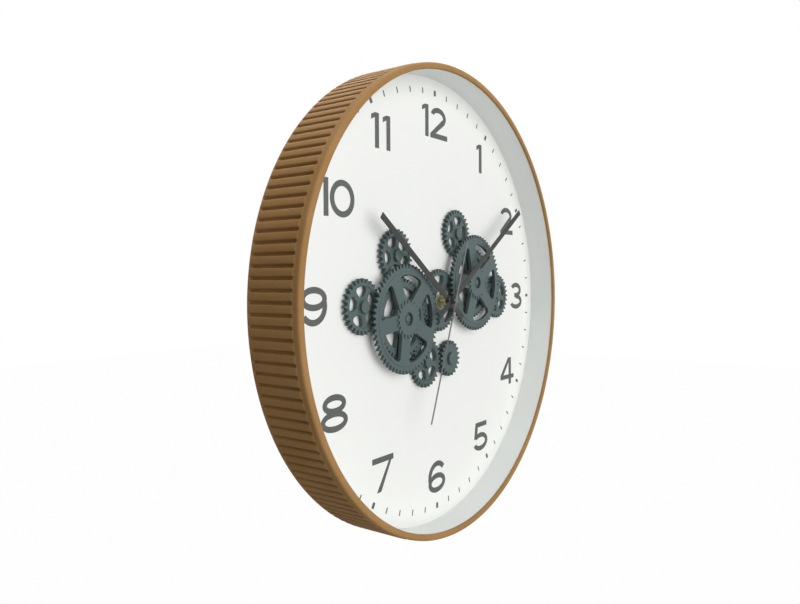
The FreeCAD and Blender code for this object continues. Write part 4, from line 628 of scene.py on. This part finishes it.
def stroke_plate(width, inner, outer, thickness):
    """One printed stroke, as a thin plate with its place along Z."""
    form = bmesh.new()
    bmesh.ops.create_cube(form, size=1.0)
    for vertex in form.verts:
        vertex.co.x *= width
        vertex.co.y = vertex.co.y * thickness - thickness / 2
        vertex.co.z = (inner + outer) / 2 + vertex.co.z * (outer - inner)
    return finished_mesh("stroke", form)


def thread_mesh(radius, height, front, back):
    """A threaded sleeve on the hands' axis: a round wall that rises and falls along a helix."""
    pitch, segments, rows_per_pitch, fading_rows = 0.00075, 40, 6, 3
    form = bmesh.new()
    count = int((back - front) / pitch * rows_per_pitch)
    rings = []
    for row in range(count + 1):
        along = front + (back - front) * row / count
        fade = min(row / fading_rows, (count - row) / fading_rows, 1.0)
        ring = []
        for k in range(segments):
            share = (along / pitch + k / segments) % 1.0
            crest = radius - height + height * fade * (1 - abs(2 * share - 1))
            angle = math.tau * k / segments
            ring.append(form.verts.new(DIAL_CENTRE + Vector((crest * math.sin(angle), along,
                                                             crest * math.cos(angle)))))
        rings.append(ring)
    for near, far in zip(rings, rings[1:]):
        for k in range(segments):
            form.faces.new((near[k], near[(k + 1) % segments], far[(k + 1) % segments], far[k]))
    return finished_mesh("bush_thread", form)


def cell_mesh(node):
    """A battery cell along X: a crimped sleeve, a steel cap with its nub, and a flat end."""
    low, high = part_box(node)
    radius = (high.z - low.z) / 2
    length = high.x - low.x
    nub_radius, nub_height, nub_round = 0.0027, 0.001, 0.0003
    flat_radius, groove_radius, groove_depth = 0.0048, 0.0064, 0.00025
    cap_radius, cap_depth = 0.0055, 0.0005
    crimp = 0.0006
    shoulder = length - nub_height
    outline = [(0.0, 0.0), (flat_radius, 0.0), (flat_radius + 0.0002, groove_depth),
               (groove_radius, groove_depth), (radius - 0.0004, 0.0), (radius - 0.0001, 0.0002),
               (radius, crimp)]
    outline += [(radius, shoulder * share) for share in (0.25, 0.5, 0.7, 0.72, 0.74, 0.9)]
    outline += [(radius, shoulder - crimp), (radius - 0.0002, shoulder - 0.0001),
                (radius - crimp, shoulder), (cap_radius + 0.0003, shoulder - 0.0001),
                (cap_radius, shoulder - cap_depth), (nub_radius + nub_round, shoulder - cap_depth),
                (nub_radius, shoulder - nub_round), (nub_radius, length - nub_round),
                (nub_radius - nub_round, length), (0.0, length)]
    centre = (low.x, (low.y + high.y) / 2, (low.z + high.z) / 2)
    mesh = lathe_mesh(f"{node}_cell", outline, 40, axis=(1, 0, 0), centre=centre)
    along = mesh.attributes.new("along", "FLOAT", "POINT")
    along.data.foreach_set("value", [(vertex.co.x - low.x) / length for vertex in mesh.vertices])
    return mesh


def raise_teeth(node, step):
    """Bring the teeth of a hub pinion forward to just below the disc in their middle."""
    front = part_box(node)[0].y
    vertices = bpy.data.objects[f"{node}_form"].data.vertices
    levels = sorted({round(vertex.co.y, 5) for vertex in vertices})
    teeth_front = levels[1]
    for vertex in vertices:
        if round(vertex.co.y, 5) == teeth_front:
            vertex.co.y = front + step


def dished_cap(centre, front, seat):
    """A push-on cap with a low brim and a dome over the end of its post, turned about Y."""
    height = seat - front
    brim = height - 0.00045
    outline = [(0.0, 0.0), (0.0016, 0.00003), (0.0024, 0.00014), (0.0028, 0.0004), (0.00295, 0.0008),
               (0.0031, brim), (CAP_RADIUS - 0.0003, brim), (CAP_RADIUS - 0.0001, brim + 0.00007),
               (CAP_RADIUS, brim + 0.00025), (CAP_RADIUS, height), (0.0, height)]
    return lathe_mesh("dished_cap", outline, 48, axis=(0, 1, 0), centre=(centre.x, front, centre.z))


# Operators

class ClockOperator:
    bl_options = {"REGISTER", "UNDO"}


class CLOCK_OT_case_ring(ClockOperator, bpy.types.Operator):
    """Make the fluted ring and its bezel"""
    bl_idname = "clock.case_ring"
    bl_label = "Case ring"

    def execute(self, context):
        mesh = repeated("fluted_ring", ring_sector(), "case_finish", sizes().rib_count)
        point_outwards(mesh)
        add_piece("fluted_ring", mesh, CASE, "case_finish", ["case_ring"])
        mesh.set_sharp_from_angle(angle=math.radians(60))
        return {"FINISHED"}


class CLOCK_OT_dial(ClockOperator, bpy.types.Operator):
    """Finish the dial, the flange, the numerals and the rings that hold the dial"""
    bl_idname = "clock.dial"
    bl_label = "Dial"

    def execute(self, context):
        for node in ("dial_panel", "inner_flange", "printed_numerals"):
            dress_node(node)
        eased_copy("retaining_ring", width=0.0004)
        eased_copy("retaining_screws", sizes().fitting_easing)
        return {"FINISHED"}


class CLOCK_OT_minute_track(ClockOperator, bpy.types.Operator):
    """Print the sixty strokes round the dial"""
    bl_idname = "clock.minute_track"
    bl_label = "Minute track"

    def execute(self, context):
        stroke = stroke_plate(width=0.0012, inner=0.1802, outer=0.185, thickness=0.0002)
        mesh = repeated("minute_strokes", stroke, "print", 60, wide_every=5, wide_by=2.5)
        add_piece("minute_strokes", mesh, CASE, "print", ["printed_minute_track"], smooth=False)
        return {"FINISHED"}


class CLOCK_OT_gears(ClockOperator, bpy.types.Operator):
    """Make the gears with eased edges"""
    bl_idname = "clock.gears"
    bl_label = "Gears"

    def execute(self, context):
        for node in ("left_inner_wheel", "left_big_wheel", "left_front_pinion", "right_inner_wheel",
                     "right_big_wheel", "right_front_pinion", "gear_upper_left", "gear_left",
                     "gear_bottom", "gear_upper_right", "gear_right", "centre_gear", "drive_pinion",
                     "drive_pinion_cap"):
            eased_copy(node, sizes().plate_easing)
        for node in ("left_front_pinion", "right_front_pinion"):
            raise_teeth(node, sizes().pinion_step)
        return {"FINISHED"}


class CLOCK_OT_posts(ClockOperator, bpy.types.Operator):
    """Make the posts that the gears turn on, their caps and their nuts"""
    bl_idname = "clock.posts"
    bl_label = "Posts and caps"

    def execute(self, context):
        for node in ("big_wheel_posts", "small_gear_posts", "small_gear_caps", "post_nuts"):
            eased_copy(node, sizes().fitting_easing)
        low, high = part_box("big_wheel_caps")
        form = bmesh.new()
        for wheel in ("left_big_wheel", "right_big_wheel"):
            near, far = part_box(wheel)
            form.from_mesh(dished_cap((near + far) / 2, low.y, high.y))
        mesh = finished_mesh("wheel_caps", form)
        add_piece("wheel_caps", mesh, CASE, slot_of("big_wheel_caps"), ["big_wheel_caps"])
        mesh.set_sharp_from_angle(angle=math.radians(50))
        return {"FINISHED"}


class CLOCK_OT_hands(ClockOperator, bpy.types.Operator):
    """Make the three hands"""
    bl_idname = "clock.hands"
    bl_label = "Hands"

    def execute(self, context):
        for node in ("hour_hand", "minute_hand", "seconds_hand"):
            eased_copy(node, sizes().hand_easing)
        return {"FINISHED"}


class CLOCK_OT_bush(ClockOperator, bpy.types.Operator):
    """Make the threaded bush, its nut, its washer and the sleeve round it"""
    bl_idname = "clock.bush"
    bl_label = "Bush and nut"

    def execute(self, context):
        eased_copy("threaded_bush", width=0.0002)
        eased_copy("bush_nut", width=0.0003, segments=3)
        for node in ("bush_washer", "idler_sleeve"):
            eased_copy(node, sizes().fitting_easing)
        thread = thread_mesh(radius=0.00428, height=0.00026, front=-0.0121, back=-0.0094)
        add_piece("bush_thread", thread, CASE, "brass")
        return {"FINISHED"}


class CLOCK_OT_movement(ClockOperator, bpy.types.Operator):
    """Make the quartz movement behind the dial"""
    bl_idname = "clock.movement"
    bl_label = "Movement"

    def execute(self, context):
        for node in ("movement_case", "movement_cover"):
            eased_copy(node, sizes().box_easing)
        for node in ("movement_gasket", "set_knob", "battery_contacts", "stepper_rotor"):
            eased_copy(node, sizes().fitting_easing)
        for node in ("circuit_board", "stator_coil", "intermediate_wheel", "seconds_wheel", "third_wheel",
                     "minute_wheel", "motion_wheel", "hour_wheel"):
            dress_node(node)
        return {"FINISHED"}


class CLOCK_OT_gear_motor(ClockOperator, bpy.types.Operator):
    """Make the gear motor behind the dial"""
    bl_idname = "clock.gear_motor"
    bl_label = "Gear motor"

    def execute(self, context):
        for node in ("motor_case", "motor_cover"):
            eased_copy(node, sizes().box_easing)
        for node in ("motor_can", "motor_screws"):
            eased_copy(node, sizes().fitting_easing)
        for node in ("motor_pinion", "reduction_gear", "output_shaft"):
            dress_node(node)
        return {"FINISHED"}


class CLOCK_OT_cells(ClockOperator, bpy.types.Operator):
    """Make the two battery cells"""
    bl_idname = "clock.cells"
    bl_label = "Battery cells"

    def execute(self, context):
        for node in ("movement_battery", "motor_battery"):
            mesh = cell_mesh(node)
            add_piece(f"{node}_cell", mesh, CASE, "battery", [node])
            mesh.set_sharp_from_angle(angle=math.radians(50))
        return {"FINISHED"}


class CLOCK_OT_hanger(ClockOperator, bpy.types.Operator):
    """Make the block and the keyhole plate that the clock hangs by"""
    bl_idname = "clock.hanger"
    bl_label = "Hanger"

    def execute(self, context):
        eased_copy("hanger_block", width=0.0008)
        for node in ("hanger_plate", "hanger_screws"):
            eased_copy(node, sizes().fitting_easing)
        return {"FINISHED"}


class CLOCK_OT_stage(ClockOperator, bpy.types.Operator):
    """Make the floor, the lights, the sky and the camera"""
    bl_idname = "clock.stage"
    bl_label = "Stage"

    def execute(self, context):
        scene = context.scene
        scene.view_settings.view_transform = "Standard"
        settings = scene.clock_stage
        make_floor(settings)
        make_sky(scene, settings)
        add_lamp("key_light", KEY_PLACE, settings.key_power, KEY_SIZE)
        add_lamp("top_light", TOP_PLACE, settings.top_power, TOP_SIZE)
        add_lamp("back_light", BACK_PLACE, settings.back_power, BACK_SIZE)
        make_camera(scene, settings)
        return {"FINISHED"}


def make_floor(settings):
    """A grey floor below the clock, which is nearly white where the camera sees it."""
    form = bmesh.new()
    bmesh.ops.create_grid(form, x_segments=1, y_segments=1, size=FLOOR_HALF_WIDTH)
    for vertex in form.verts:
        vertex.co.z = CAD_BOX[0].z - settings.floor_drop
    mesh = finished_mesh("floor", form)
    floor = bpy.data.objects.new("floor", mesh)
    bpy.context.scene.collection.objects.link(floor)
    material, tree, shader = new_material("pale_floor")
    shader.inputs["Base Color"].default_value = (0.42, 0.42, 0.42, 1.0)
    shader.inputs["Roughness"].default_value = 0.85
    path = tree.nodes.new("ShaderNodeLightPath")
    glow = tree.nodes.new("ShaderNodeEmission")
    part = node_with(tree, "ShaderNodeMath", {0: path.outputs["Is Camera Ray"], 1: FLOOR_GLOW},
                     operation="MULTIPLY")
    mix = node_with(tree, "ShaderNodeMixShader", {"Fac": part.outputs[0], 1: shader.outputs[0],
                                                  2: glow.outputs[0]})
    tree.links.new(mix.outputs[0], tree.nodes["Material Output"].inputs["Surface"])
    mesh.materials.append(material)


def make_sky(scene, settings):
    """An even grey light on the clock, with white behind it for the camera, gloss and glass."""
    world = bpy.data.worlds.new("studio")
    world.use_nodes = True
    tree = world.node_tree
    light = tree.nodes["Background"]
    light.inputs["Color"].default_value = (1.0, 1.0, 1.0, 1.0)
    light.inputs["Strength"].default_value = settings.sky
    white = node_with(tree, "ShaderNodeBackground", {"Color": (1.0, 1.0, 1.0, 1.0), "Strength": 1.0})
    path = tree.nodes.new("ShaderNodeLightPath")
    seen = node_with(tree, "ShaderNodeMath", {0: path.outputs["Is Camera Ray"],
                                              1: path.outputs["Is Glossy Ray"]}, operation="MAXIMUM")
    shown = node_with(tree, "ShaderNodeMath", {0: seen.outputs[0],
                                               1: path.outputs["Is Transmission Ray"]},
                      operation="MAXIMUM")
    mix = node_with(tree, "ShaderNodeMixShader", {"Fac": shown.outputs[0], 1: light.outputs[0],
                                                  2: white.outputs[0]})
    tree.links.new(mix.outputs[0], tree.nodes["World Output"].inputs["Surface"])
    scene.world = world


def add_lamp(name, place, power, size):
    """A square soft lamp that faces the middle of the dial."""
    lamp = bpy.data.lights.new(name, "AREA")
    lamp.energy = power
    lamp.size = size
    lamp_object = bpy.data.objects.new(name, lamp)
    bpy.context.scene.collection.objects.link(lamp_object)
    lamp_object.location = place
    lamp_object.rotation_euler = (DIAL_CENTRE - Vector(place)).to_track_quat("-Z", "Y").to_euler()


def make_camera(scene, settings):
    """A camera at the place from which the photograph was taken."""
    camera = bpy.data.cameras.new("camera")
    camera.sensor_width = 36.0
    camera.lens = settings.lens
    camera.shift_x, camera.shift_y = CAMERA_SHIFT
    camera_object = bpy.data.objects.new("camera", camera)
    scene.collection.objects.link(camera_object)
    camera_object.location = CAMERA_PLACE
    camera_object.rotation_euler = [math.radians(angle) for angle in CAMERA_TURN_DEGREES]
    scene.camera = camera_object


class CLOCK_PT_panel(bpy.types.Panel):
    """Lists the clock's pieces and settings"""
    bl_idname = "CLOCK_PT_panel"
    bl_label = "Gear Clock"
    bl_space_type = "VIEW_3D"
    bl_region_type = "UI"
    bl_category = "Gear Clock"

    def draw(self, context):
        layout = self.layout
        for group in (context.scene.clock_sizes, context.scene.clock_colours, context.scene.clock_stage):
            box = layout.box()
            for name in group.__annotations__:
                box.prop(group, name)
        for operator in OPERATORS:
            layout.operator(operator.bl_idname)


OPERATORS = (
    CLOCK_OT_case_ring,
    CLOCK_OT_dial,
    CLOCK_OT_minute_track,
    CLOCK_OT_gears,
    CLOCK_OT_posts,
    CLOCK_OT_hands,
    CLOCK_OT_bush,
    CLOCK_OT_movement,
    CLOCK_OT_gear_motor,
    CLOCK_OT_cells,
    CLOCK_OT_hanger,
    CLOCK_OT_stage,
)
GROUPS = {"clock_sizes": ClockSizes, "clock_colours": ClockColours, "clock_stage": ClockStage}


def register():
    for name, group in GROUPS.items():
        bpy.utils.register_class(group)
        setattr(bpy.types.Scene, name, PointerProperty(type=group))
    for operator in OPERATORS:
        bpy.utils.register_class(operator)
    bpy.utils.register_class(CLOCK_PT_panel)


def unregister():
    bpy.utils.unregister_class(CLOCK_PT_panel)
    for operator in reversed(OPERATORS):
        bpy.utils.unregister_class(operator)
    for name, group in reversed(GROUPS.items()):
        delattr(bpy.types.Scene, name)
        bpy.utils.unregister_class(group)


def main():
    register()
    bpy.ops.clock.case_ring()
    bpy.ops.clock.dial()
    bpy.ops.clock.minute_track()
    bpy.ops.clock.gears()
    bpy.ops.clock.posts()
    bpy.ops.clock.hands()
    bpy.ops.clock.bush()
    bpy.ops.clock.movement()
    bpy.ops.clock.gear_motor()
    bpy.ops.clock.cells()
    bpy.ops.clock.hanger()
    bpy.ops.clock.stage()


if __name__ == "__main__":
    main()
